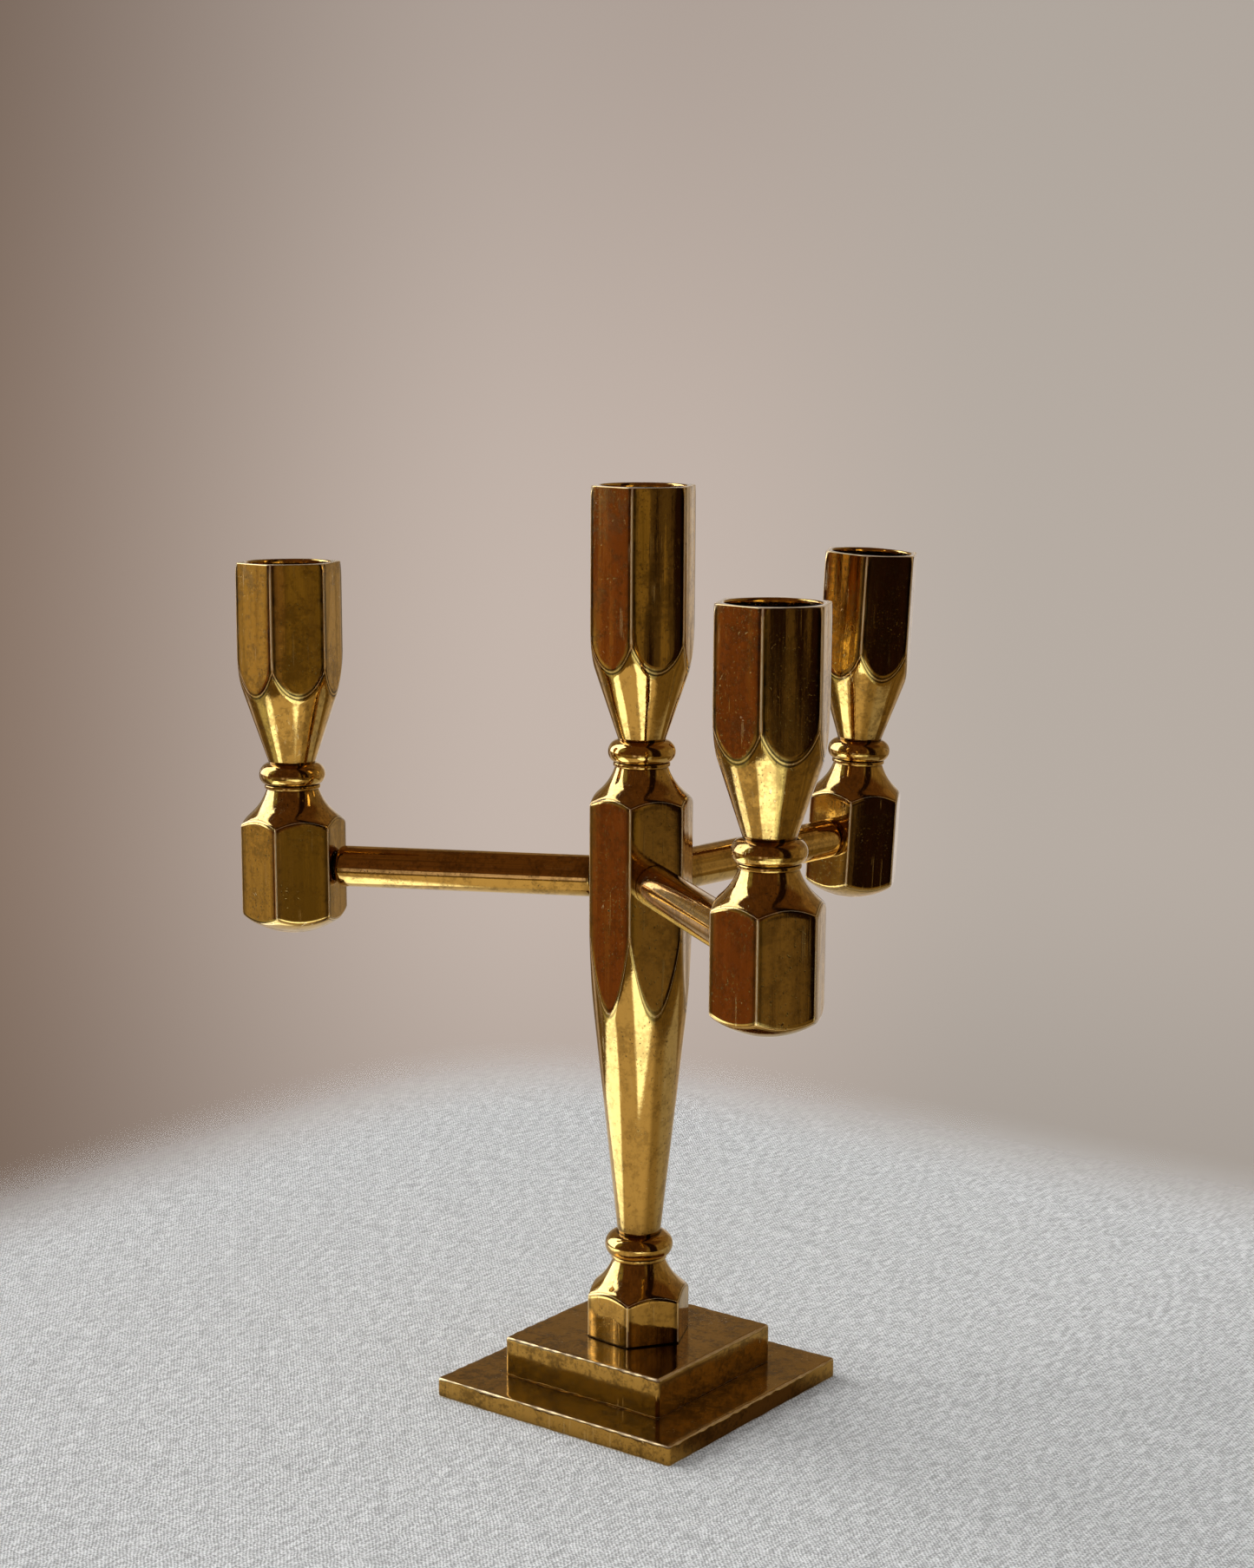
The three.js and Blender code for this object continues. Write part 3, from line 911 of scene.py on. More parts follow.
def dress(name: str, mesh: bpy.types.Mesh, finish: Finish, node: str, place: Matrix) -> None:
    """Puts a mesh in place as a finished piece that stands for a CAD node.

    Args:
        name: Name of the piece.
        mesh: Its mesh, about its own axis.
        finish: Its finish.
        node: The CAD node that it replaces.
        place: Where it goes, in metres.
    """
    mesh.transform(place)
    piece = bpy.data.objects.new(name, mesh)
    bpy.context.scene.collection.objects.link(piece)
    mesh.materials.append(finish.material())
    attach(piece, ROOT)
    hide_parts(node)
    finish.slot
    low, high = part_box(node)
    tall = (high.z - low.z) / MM
    LOG.info("%s: %d faces, stands for %s, %.0f mm high", name, len(mesh.polygons), node, tall)


def keep(node: bpy.types.Object, finish: Finish) -> None:
    """Gives a CAD node that stays its finish.

    Args:
        node: The node's object.
        finish: Its finish.
    """
    node.data.materials.clear()
    node.data.materials.append(finish.material())
    LOG.info("%s: kept, %s", node.name, finish.slot)


def moved(x: float, z: float) -> Matrix:
    """Move along x and up, in millimetres."""
    return Matrix.Translation((x * MM, 0.0, z * MM))


# ---------------------------------------------------------------- sub-assemblies


@dataclass(frozen=True)
class Plate:
    """Square plate with worn edges and a round hole in the middle."""

    side: float
    thickness: float
    corner: float = 1.0
    edge: float = 0.42
    top_edge: float = 0.75
    hole: float = 3.3
    socket: float = 0.0
    socket_depth: float = 0.0
    side_points: int = 79
    corner_points: int = 9
    seed: int = 1
    wear_sizes: tuple[float, ...] = (31.0, 17.0, 9.0, 5.0, 3.0)
    wear_share: float = 0.16
    wear_limits: Range = (0.35, 1.3)
    under_rings: tuple[float, ...] = (0.35, 0.7, 0.9)
    side_rings: tuple[float, ...] = (0.15, 0.3, 0.5, 0.7, 0.85)
    top_rings: tuple[float, ...] = (0.97, 0.9, 0.7, 0.45, 0.2)

    def square(self, inset: float) -> np.ndarray:
        """Outline of the plate, with its corners rounded.

        Args:
            inset: How far the outline is set in.

        Returns:
            Rows of x and y.
        """
        half = self.side / 2 - inset
        radius = self.corner - inset
        run = np.linspace(-1.0, 1.0, self.side_points + 2)[1:-1] * (half - radius)
        bend = np.radians(np.linspace(0.0, 90.0, self.corner_points))
        rounded = half - radius + radius * np.stack([np.cos(bend), np.sin(bend)], axis=1)
        block = np.vstack([np.stack([np.full(len(run), half), run], axis=1), rounded])
        spin = np.array([[0.0, 1.0], [-1.0, 0.0]])
        return np.vstack([block @ np.linalg.matrix_power(spin, quarter) for quarter in range(4)])

    def wear(self, outline: np.ndarray, salt: int) -> np.ndarray:
        """Width of the worn edge along an outline, as a share of the plate's own.

        Args:
            outline: Points of the outline.
            salt: Number that sets one edge's wear apart from another's.

        Returns:
            A share for each point, about 1.
        """
        draw = np.random.default_rng(self.seed * 100 + salt)
        share = np.ones(len(outline))
        for size in self.wear_sizes:
            heading, shift = draw.uniform(0.0, 6.3, 2)
            along = outline @ np.array([math.cos(heading), math.sin(heading)])
            share += self.wear_share * np.sin(along / size * 6.3 + shift)
        return np.clip(share, *self.wear_limits)

    def mesh(self, name: str) -> bpy.types.Mesh:
        """Builds the plate, standing on its own underside.

        Args:
            name: Name of the mesh.

        Returns:
            The mesh.
        """
        outside, worn = self.square(0.0), self.square(self.top_edge)
        shell = Shell(np.arctan2(outside[:, 1], outside[:, 0]))
        inner = self.socket or self.hole
        quarter = np.radians(np.linspace(0.0, 90.0, 6))
        spread = worn / np.linalg.norm(worn, axis=1)[:, None]

        def flat(radius: float, share: float, z: float, seam: float = 0.0) -> None:
            """Adds a ring on a flat face.

            Args:
                radius: Radius of the hole in the face.
                share: How far out the ring is, from the hole at 0 to the worn edge at 1.
                z: Height of the face.
                seam: How dark the ring is painted, as grime and painted shade.
            """
            line = radius * spread * (1 - share) + worn * share
            shell.ring(line[:, 0], line[:, 1], z, seam=seam)

        def rounded(turn: float, salt: int, z: float, drop: float, seam: float) -> None:
            """Adds a ring on a worn edge.

            Args:
                turn: Angle up from the plate's side.
                salt: Number of the edge, for its wear.
                z: Height of the flat face beside it.
                drop: How far the edge reaches up from there, or down where it is below 0.
                seam: How dark the ring is painted, as grime and painted shade.
            """
            size = self.wear(outside, salt)
            inward = (worn - outside) * abs(drop) / self.top_edge
            line = outside + inward * (size * (1 - math.cos(turn)))[:, None]
            height = z + drop * size * (1 - math.sin(turn))
            # The edge is painted bright at its middle, as worn metal and a highlight.
            shell.ring(line[:, 0], line[:, 1], height, math.sin(2 * turn), seam)

        # The socket, the hole, the underside and its edge are painted dark as shade and grime.
        if self.socket:
            shell.turn_all([(self.hole, self.socket_depth), (self.socket, self.socket_depth)], seam=1.0)
        shell.turn(inner, 0.0, seam=0.8)
        for share in self.under_rings:
            flat(inner, share, 0.0, seam=0.3)
        for turn in quarter[::-1]:
            rounded(turn, 1, 0.0, self.edge, seam=0.5)
        # The sides are painted darker towards the floor, as shade.
        for share in self.side_rings:
            z, seam = self.thickness * share, max(0.0, 0.45 - share)
            shell.ring(outside[:, 0], outside[:, 1], z, seam=seam)
        for turn in quarter:
            rounded(turn, 2, self.thickness, -self.top_edge, seam=0.0)
        for share in self.top_rings:
            flat(self.hole, share, self.thickness)
        shell.turn(self.hole, self.thickness, seam=1.0)
        shell.turn(self.hole, self.socket_depth if self.socket else 0.0, seam=1.0)
        return shell.mesh(name)


@dataclass(frozen=True)
class Base:
    """Stepped base: two plates and the bolt that holds them."""

    lower: Plate = Plate(78.0, 5.3, socket=7.77, socket_depth=3.3, seed=3)
    upper: Plate = Plate(51.8, 10.7, seed=5)

    def build(self, nodes: dict[str, bpy.types.Object]) -> None:
        """Builds and dresses the base.

        Args:
            nodes: The CAD nodes by name.
        """
        for name, plate in (("base_plate", self.lower), ("plinth_plate", self.upper)):
            low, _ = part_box(name)
            dress(name + "_brass", plate.mesh(name), Finish.BASE, name, Matrix.Translation((0, 0, low.z)))
        keep(nodes["base_bolt"], Finish.STEEL)


@dataclass(frozen=True)
class Cup:
    """Candle cup: bead, taper and a hexagonal cup with a round bore."""

    height: float
    waist: float = 6.3
    bead: Bead = Bead()
    taper: Taper = Taper(18.6, 12.6, 48.0, Crease(0.55, 1.45))
    rim_ease: float = 0.45
    ease_height: float = 1.6
    rim_edge: float = 0.22
    rim_crease: Crease = Crease(0.12)
    bore: float = 11.35
    bore_edge: float = 0.45
    bore_rings: tuple[float, ...] = (0.04, 0.12, 0.25, 0.4, 0.6, 0.8, 0.97)
    depth: float = 25.0

    def mesh(self, name: str) -> bpy.types.Mesh:
        """Builds the cup about its axis, from its joint face upwards.

        Args:
            name: Name of the mesh.

        Returns:
            The mesh.
        """
        shell = BarShell()
        waist = self.bead.start(shell, 0.0, self.waist)
        eased_part = 5 * self.ease_height
        self.taper.run(shell, waist, self.height - eased_part)

        # The long edges draw in towards the rim, and the rim is rounded. Edges, rim and the bore's mouth
        # are painted bright, as worn metal and a highlight.
        reach = float(shell.hexagon.max()) + 6 * HAIR
        for share in 1 - eased(16)[-2::-1]:
            below = self.rim_edge + (eased_part - self.rim_edge) * (1 - share)
            limit = reach - self.rim_ease * math.exp(-below / self.ease_height)
            radius, _ = self.rim_crease.join(shell.hexagon, np.full(len(shell.angles), limit))
            shell.turn(radius, self.height - below, shell.corner)
        for turn in np.radians((30.0, 60.0, 90.0)):
            inset = self.rim_edge * (1 - math.cos(turn))
            shell.turn(radius - inset, self.height - self.rim_edge * (1 - math.sin(turn)), edge=1.0)
        mouth, lip = self.bore + self.bore_edge, self.height - self.bore_edge
        shell.turn(radius * 0.3 + mouth * 0.7, self.height, edge=0.5)
        shell.turn_all(arc((mouth, lip), self.bore_edge, 90, 180, 5))

        # Down the bore, painted darker with depth as shade, and in over its floor.
        floor = self.height - self.depth
        for share in self.bore_rings:
            shell.turn(self.bore, lip + (floor - lip) * share, seam=share)
        for radius in (self.bore, self.bore - 0.5, self.bore / 2, 0.0):
            shell.turn(radius, floor, seam=1.0)
        return shell.mesh(name)


@dataclass(frozen=True)
class Block:
    """Hexagonal block at the end of an arm, domed below and necked above."""

    neck: Neck = Neck()
    top: float = 11.5
    bottom: float = 13.1
    dome: float = 21.5
    dome_inset: float = 2.2
    dome_rings: tuple[float, ...] = (0.0, 0.08, 0.25, 0.45, 0.65, 0.85, 1.0)
    crease: Crease = Crease(1.0)

    def mesh(self, name: str) -> bpy.types.Mesh:
        """Builds the block about its axis, with the arm's axis at height 0.

        Args:
            name: Name of the mesh.

        Returns:
            The mesh.
        """
        shell = BarShell()
        centre = -self.bottom + math.sqrt(self.dome**2 - BAR.corner**2)
        reach = math.degrees(math.asin((BAR.corner + BEYOND) / self.dome))
        outline = Outline(arc((0.0, centre), self.dome, -90, -90 + reach, 60))
        lean = math.asin((BAR.apothem - self.dome_inset) / self.dome)
        for share in self.dome_rings:
            turn = lean * share
            shell.turn(self.dome * math.sin(turn), centre - self.dome * math.cos(turn))
        start = centre - self.dome * math.cos(lean)
        crease = shell.crease(outline)
        for share in 1 - eased(12, power=1.4)[-2::-1]:
            shell.cut(outline, start + (crease - start) * share, self.crease)
        middle = (self.top - self.bottom) / 2
        for share in eased(14, power=2.4)[1:]:
            shell.cut(outline, crease + (middle - crease) * share, self.crease)
        self.neck.finish(shell, self.top, np.full(len(shell.angles), middle))
        return shell.mesh(name)


@dataclass(frozen=True)
class Rod:
    """Round rod of an arm, square at the hub and rounded at the block."""

    diameter: float = 11.2
    hub_edge: float = 0.25
    end_round: float = 1.8
    hole: StudHole = StudHole()
    rings: tuple[float, ...] = (0.01, 0.03, 0.1, 0.3, 0.5, 0.7, 0.9, 0.98)
    ring_grime_and_shade: tuple[float, ...] = (0.4, 0.1, 0.0, 0.0, 0.0, 0.0, 0.0, 0.1)

    def mesh(self, name: str, length: float) -> bpy.types.Mesh:
        """Builds the rod along its axis, from the hub outwards.

        Args:
            name: Name of the mesh.
            length: Length of the rod.

        Returns:
            The mesh.
        """
        shell = Shell(np.radians(np.arange(0.0, 360.0, 3.0)))
        radius, edge, end = self.diameter / 2, self.hub_edge, self.end_round
        self.hole.from_below(shell, 0.0)
        # The rod is painted darker at the hub end and towards the block, as grime and shade where it meets
        # them.
        shell.turn(radius - 2 * edge, 0.0, seam=0.8)
        shell.turn_all(arc((radius - edge, edge), edge, -90, 0, 3), seam=0.5)
        for share, seam in zip(self.rings, self.ring_grime_and_shade):
            shell.turn(radius, edge + (length - edge - end) * share, seam=seam)
        for row, (ring, z) in enumerate(arc((radius - end, length - end), end, 0, 88, 10)):
            shell.turn(ring, z, seam=0.1 + 0.09 * row)
        self.hole.from_above(shell, length)
        return shell.mesh(name)


@dataclass(frozen=True)
class Stem:
    """Foot block, column with its hub, and the cup on the hub."""

    foot_height: float = 11.6
    foot_edge: float = 0.25
    foot_flat: float = 3.0
    bolt_hole: StudHole = StudHole(depth=9.8)
    column_height: float = 124.45
    column_waist: float = 5.85
    hub_flat: float = 14.0
    turn_deg: float = -35.3
    neck: Neck = Neck()
    bead: Bead = Bead(9.25, 3.4)
    taper: Taper = Taper(6.2, 11.9, 730.0, Crease(0.3))
    cup: Cup = Cup(72.45)

    def foot(self) -> bpy.types.Mesh:
        """Foot block, standing on height 0.

        Returns:
            The mesh.
        """
        shell = BarShell()
        edge = self.foot_edge
        self.bolt_hole.from_below(shell, 0.0)
        # The foot is painted darker towards the floor, as shade and grime, and its long edges bright, as
        # worn metal and a highlight.
        shell.turn(shell.hexagon - 2 * edge, 0.0, seam=0.9)
        for turn in np.radians((0.0, 30.0, 60.0, 90.0)):
            inset, z = edge * (1 - math.sin(turn)), edge * (1 - math.cos(turn))
            shell.turn(shell.hexagon - inset, z, edge=0.2, seam=0.7)
        for z in (edge + 0.3, edge + 1.0, self.foot_flat):
            shell.turn(shell.hexagon, z, shell.corner, max(0.0, 0.5 - 0.3 * z))
        self.neck.finish(shell, self.foot_height, np.full(len(shell.angles), self.foot_flat))
        return shell.mesh("foot_block")

    def column(self) -> bpy.types.Mesh:
        """Column, from its joint face at height 0.

        Returns:
            The mesh.
        """
        shell = BarShell()
        waist = self.bead.start(shell, 0.0, self.column_waist)
        left = self.taper.run(shell, waist, self.column_height - self.hub_flat)
        self.neck.finish(shell, self.column_height, left)
        return shell.mesh("column")

    def build(self, nodes: dict[str, bpy.types.Object]) -> None:
        """Builds and dresses the stem.

        Args:
            nodes: The CAD nodes by name.
        """
        turn = Matrix.Rotation(math.radians(self.turn_deg), 4, "Z")
        for node, mesh, finish in (
            ("foot_block", self.foot(), Finish.STEM),
            ("column", self.column(), Finish.STEM),
            ("centre_cup", self.cup.mesh("centre_cup"), Finish.CUP),
        ):
            low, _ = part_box(node)
            dress(node + "_brass", mesh, finish, node, Matrix.Translation((0, 0, low.z)) @ turn)
        for node in ("foot_stud", "centre_cup_stud"):
            keep(nodes[node], Finish.STEEL)


@dataclass(frozen=True)
class Arm:
    """One arm: rod, end block and cup, settled a little off its true place."""

    name: str
    bearing: float
    skew: float
    droop: float
    lean: float
    reach: float = 97.5
    below_hub: float = 20.7
    seam: float = 0.3
    rod: Rod = Rod()
    block: Block = Block()
    cup: Cup = Cup(60.15)

    @property
    def rod_start(self) -> float:
        """Distance from the column's axis to the rod's square end."""
        off = math.radians(math.hypot(self.skew, self.droop))
        return (BAR.apothem + self.rod.diameter / 2 * math.sin(off)) / math.cos(off) + self.seam

    def build(self, nodes: dict[str, bpy.types.Object], stem: Stem) -> None:
        """Builds and dresses the arm.

        Args:
            nodes: The CAD nodes by name.
            stem: The stem whose hub the arm is screwed into.
        """
        _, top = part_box("column")
        height = top.z / MM - stem.neck.rise - self.below_hub
        around = stem.turn_deg + self.bearing + self.skew
        settle = Euler([math.radians(v) for v in (self.lean, self.droop, around)], "XYZ")
        frame = moved(0.0, height) @ settle.to_matrix().to_4x4()
        outward = Matrix.Rotation(math.pi / 2, 4, "Y")
        start = self.rod_start
        length = self.reach - BAR.apothem - self.seam - start
        cup_z = self.block.top + self.block.neck.rise + self.seam
        rod = self.rod.mesh(self.name + "_rod", length)
        block = self.block.mesh(self.name + "_block")
        cup = self.cup.mesh(self.name + "_cup")
        for part, mesh, finish, place in (
            ("arm_rod", rod, Finish.ROD, moved(start, 0.0) @ outward),
            ("arm_block", block, Finish.STEM, moved(self.reach, 0.0)),
            ("cup", cup, Finish.CUP, moved(self.reach, cup_z)),
        ):
            node = f"{self.name}_{part}"
            dress(node + "_brass", mesh, finish, node, frame @ place)
        for part in ("arm_hub_stud", "arm_block_stud", "cup_stud"):
            keep(nodes[f"{self.name}_{part}"], Finish.STEEL)


ARMS = (
    Arm("right", 0.0, -0.4, -0.2, -0.2),
    Arm("rear", 120.0, 2.3, 0.8, 2.6),
    Arm("left", -120.0, -0.8, 0.6, 0.9),
)


# ---------------------------------------------------------------- studio, with its lengths in metres


@dataclass(frozen=True)
class Viewpoint:
    """Camera of the picture."""

    position: tuple[float, float, float] = (0.4296, -0.5783, 0.2882)
    aim: tuple[float, float, float] = (0.2152, -0.2883, 0.2276)
    roll_deg: float = 0.38
    lens: float = 63.3
    sensor: float = 36.0
    shift: tuple[float, float] = (-0.0134, 0.0015)
    clip: Range = (0.01, 50.0)

    def build(self) -> None:
        """Makes the camera."""
        data = bpy.data.cameras.new("camera")
        data.sensor_width = self.sensor
        data.lens = self.lens
        data.shift_x, data.shift_y = self.shift
        data.clip_start, data.clip_end = self.clip
        camera = bpy.data.objects.new("camera", data)
        bpy.context.scene.collection.objects.link(camera)
        ahead = Vector(self.aim) - Vector(self.position)
        turn = ahead.to_track_quat("-Z", "Y").to_matrix().to_4x4()
        roll = Matrix.Rotation(math.radians(self.roll_deg), 4, "Z")
        camera.matrix_world = Matrix.Translation(self.position) @ turn @ roll
        bpy.context.scene.camera = camera
        LOG.info("camera: lens %.1f mm", self.lens)


@dataclass(frozen=True)
class LightPool:
    """Patch of brighter light on the cloth, bounded by straight soft edges."""

    corners: tuple[tuple[float, float], ...]
    soft: float = 0.012

    def mask(self, x: Wire, y: Wire) -> Wire | float:
        """Share of the pool's light at a place on the cloth, from corners given anticlockwise.

        Args:
            x: The place along x.
            y: The place along y.

        Returns:
            A share from 0 to 1.
        """
        share: Wire | float = 1.0
        for (x0, y0), (x1, y1) in zip(self.corners, self.corners[1:] + self.corners[:1]):
            length = math.hypot(x1 - x0, y1 - y0)
            inward = ((y - y0) * (x1 - x0) - (x - x0) * (y1 - y0)) / length
            share = inward.step(-self.soft, self.soft) * share
        return share


@dataclass(frozen=True)
class Cloth:
    """Small glowing sheet that only the metal mirrors, painted with the light of a lit cloth: light at the
    left and in front, dim at the right and behind, with pools of light and a cast shadow beside the base.
    """

    reach_x: Range = (-0.225, 0.222)
    reach_y: Range = (-0.285, 0.235)
    # Painted light on the cloth, by side.
    left: Colour = rgb(0.66, 0.64, 0.62)
    right: Colour = rgb(0.31, 0.24, 0.13)
    behind: Colour = rgb(0.38, 0.35, 0.30)
    front: Colour = rgb(0.63, 0.52, 0.34)
    bright: Colour = rgb(2.3, 2.6, 2.9)
    shadow: Colour = rgb(0.07, 0.04, 0.02)
    shadow_x: Range = (0.03, 0.058)
    shadow_y: Range = (-0.03, 0.035)
    left_to_right: Range = (-0.14, 0.02)
    right_to_behind: Range = (0.02, 0.09)
    front_to_back: Range = (-0.07, -0.02)
    pools: tuple[LightPool, ...] = (
        LightPool((
            (-0.30, -0.31), (-0.08, -0.31), (-0.075, -0.15),
            (-0.055, -0.12), (-0.068, -0.045), (-0.30, 0.03),
        )),
        LightPool(((0.085, -0.33), (0.27, -0.33), (0.27, -0.085), (0.12, -0.118), (0.08, -0.135))),
    )
    soft: float = 0.012

    def inside(self, value: Wire, reach: Range) -> Wire:
        """Whether a value is within a reach, with soft ends."""
        low, high = value - reach[0], reach[1] - value
        return low.step(-self.soft, self.soft) * high.step(-self.soft, self.soft)

    def material(self) -> bpy.types.Material:
        """Builds the material.

        Returns:
            The material.
        """
        material = bpy.data.materials.new("cloth_glow")
        sheet = NodeSheet(material)
        x, y, _ = sheet.axes(sheet.node("ShaderNodeTexCoord", {}, {}, "Object"))
        right = sheet.mix(y.step(*self.right_to_behind), self.right, self.behind)
        light = sheet.mix(x.step(*self.left_to_right), self.left, right)
        light = sheet.mix(y.step(*self.front_to_back), self.front, light)
        # A painted shadow on the cloth beside the base.
        painted_shade_beside = self.inside(x, self.shadow_x) * self.inside(y, self.shadow_y)
        light = sheet.mix(painted_shade_beside, light, self.shadow)
        for pool in self.pools:
            light = sheet.mix(pool.mask(x, y), light, self.bright)
        glow = sheet.node("ShaderNodeEmission", {}, {"Color": light, "Strength": 1.0})
        clear = sheet.node("ShaderNodeBsdfTransparent", {}, {})
        sheet.show(sheet.blend(self.inside(x, self.reach_x) * self.inside(y, self.reach_y), clear, glow))
        return material


@dataclass(frozen=True)
class Floor:
    """Plain pale woven floor that runs out softly into the backdrop."""

    pale: Colour = rgb(0.95, 0.95, 0.945)
    shaded: Colour = rgb(0.46, 0.455, 0.45)
    fade: Range = (0.21, 0.30)
    thread: float = 0.0006
    warp: Grain = Grain(1500.0, stretch=(1.0, 0.1, 1.0))
    weft: Grain = Grain(1500.0, stretch=(0.3, 1.0, 1.0))
    drift: Grain = Grain(170.0)
    folds: Grain = Grain(14.0, 3.0)
    cover_from: Range = (0.8, 1.2)
    cover_share: float = 0.8
    wander: float = 5.0
    cross_wander: float = 6.5
    weave_relief: float = 1.4
    knot_relief: float = 0.6
    fold_relief: float = 8.0
    relief: float = 0.0004
    strength: float = 0.7
    roughness: float = 0.9
    gloss: float = 0.1

    def wave(self, sheet: NodeSheet, along: Wire, drift: Wire) -> Wire:
        """Rise and fall of the threads along one direction, from -1 to 1."""
        return sheet.math("SINE", along * (math.pi / self.thread) + drift)

    def material(self) -> bpy.types.Material:
        """Builds the material.

        Returns:
            The material.
        """
        material = bpy.data.materials.new("floor_weave")
        sheet = NodeSheet(material)
        place = sheet.node("ShaderNodeTexCoord", {}, {}, "Object")
        x, y, _ = sheet.axes(place)

        # Distance from the middle by a square with round corners. The weave fades out with it.
        away = ((x * x) ** 3.0 + (y * y) ** 3.0) ** (1 / 6)
        far = away.step(*self.fade)
        near = 1 - far
        weave = sheet.noise(place, self.warp) + sheet.noise(place, self.weft)
        drift = sheet.noise(place, self.drift)
        along, across = drift * self.wander, drift * self.cross_wander
        knots = self.wave(sheet, x, along) * self.wave(sheet, y, across) * near * 0.5 + 0.5
        cover = (weave.step(*self.cover_from) - 0.5) * near * self.cover_share + knots
        height = (weave * self.weave_relief + knots * self.knot_relief) * near
        height = height + sheet.noise(place, self.folds) * self.fold_relief
        surface = sheet.surface({
            "Base Color": sheet.mix(cover, self.shaded, self.pale), "Roughness": self.roughness,
            "Specular IOR Level": self.gloss, "Normal": sheet.bump(height, self.relief, self.strength),
        })
        sheet.show(sheet.blend(far, surface, sheet.node("ShaderNodeBsdfTransparent", {}, {})))
        return material


@dataclass(frozen=True)
class Gaze:
    """Direction in degrees: clockwise around from ahead, and above the horizon."""

    around: Wire
    above: Wire

    @property
    def sheet(self) -> NodeSheet:
        """The sheet that the direction is worked out on."""
        return self.around.sheet


@dataclass(frozen=True)
class Panel:
    """Plain soft-edged part of the room, with its reach in degrees around and above."""

    around: Range
    above: Range
    light: Colour
    soft: float = 4.0
    soft_above: float = 4.0

    def mask(self, gaze: Gaze) -> Wire:
        """Share of the panel's light in a direction, also for a panel that spans straight behind.

        Args:
            gaze: The direction.

        Returns:
            A share from 0 to 1.
        """
        (left, right), (low, high) = self.around, self.above
        half = (right - left) / 2
        away = gaze.sheet.math("PINGPONG", gaze.around - (left + right) / 2, 180.0)
        share = 1 - away.step(half - self.soft, half + self.soft)
        share = share * gaze.above.step(low - self.soft_above, low + self.soft_above)
        return share * (1 - gaze.above.step(high - self.soft_above, high + self.soft_above))


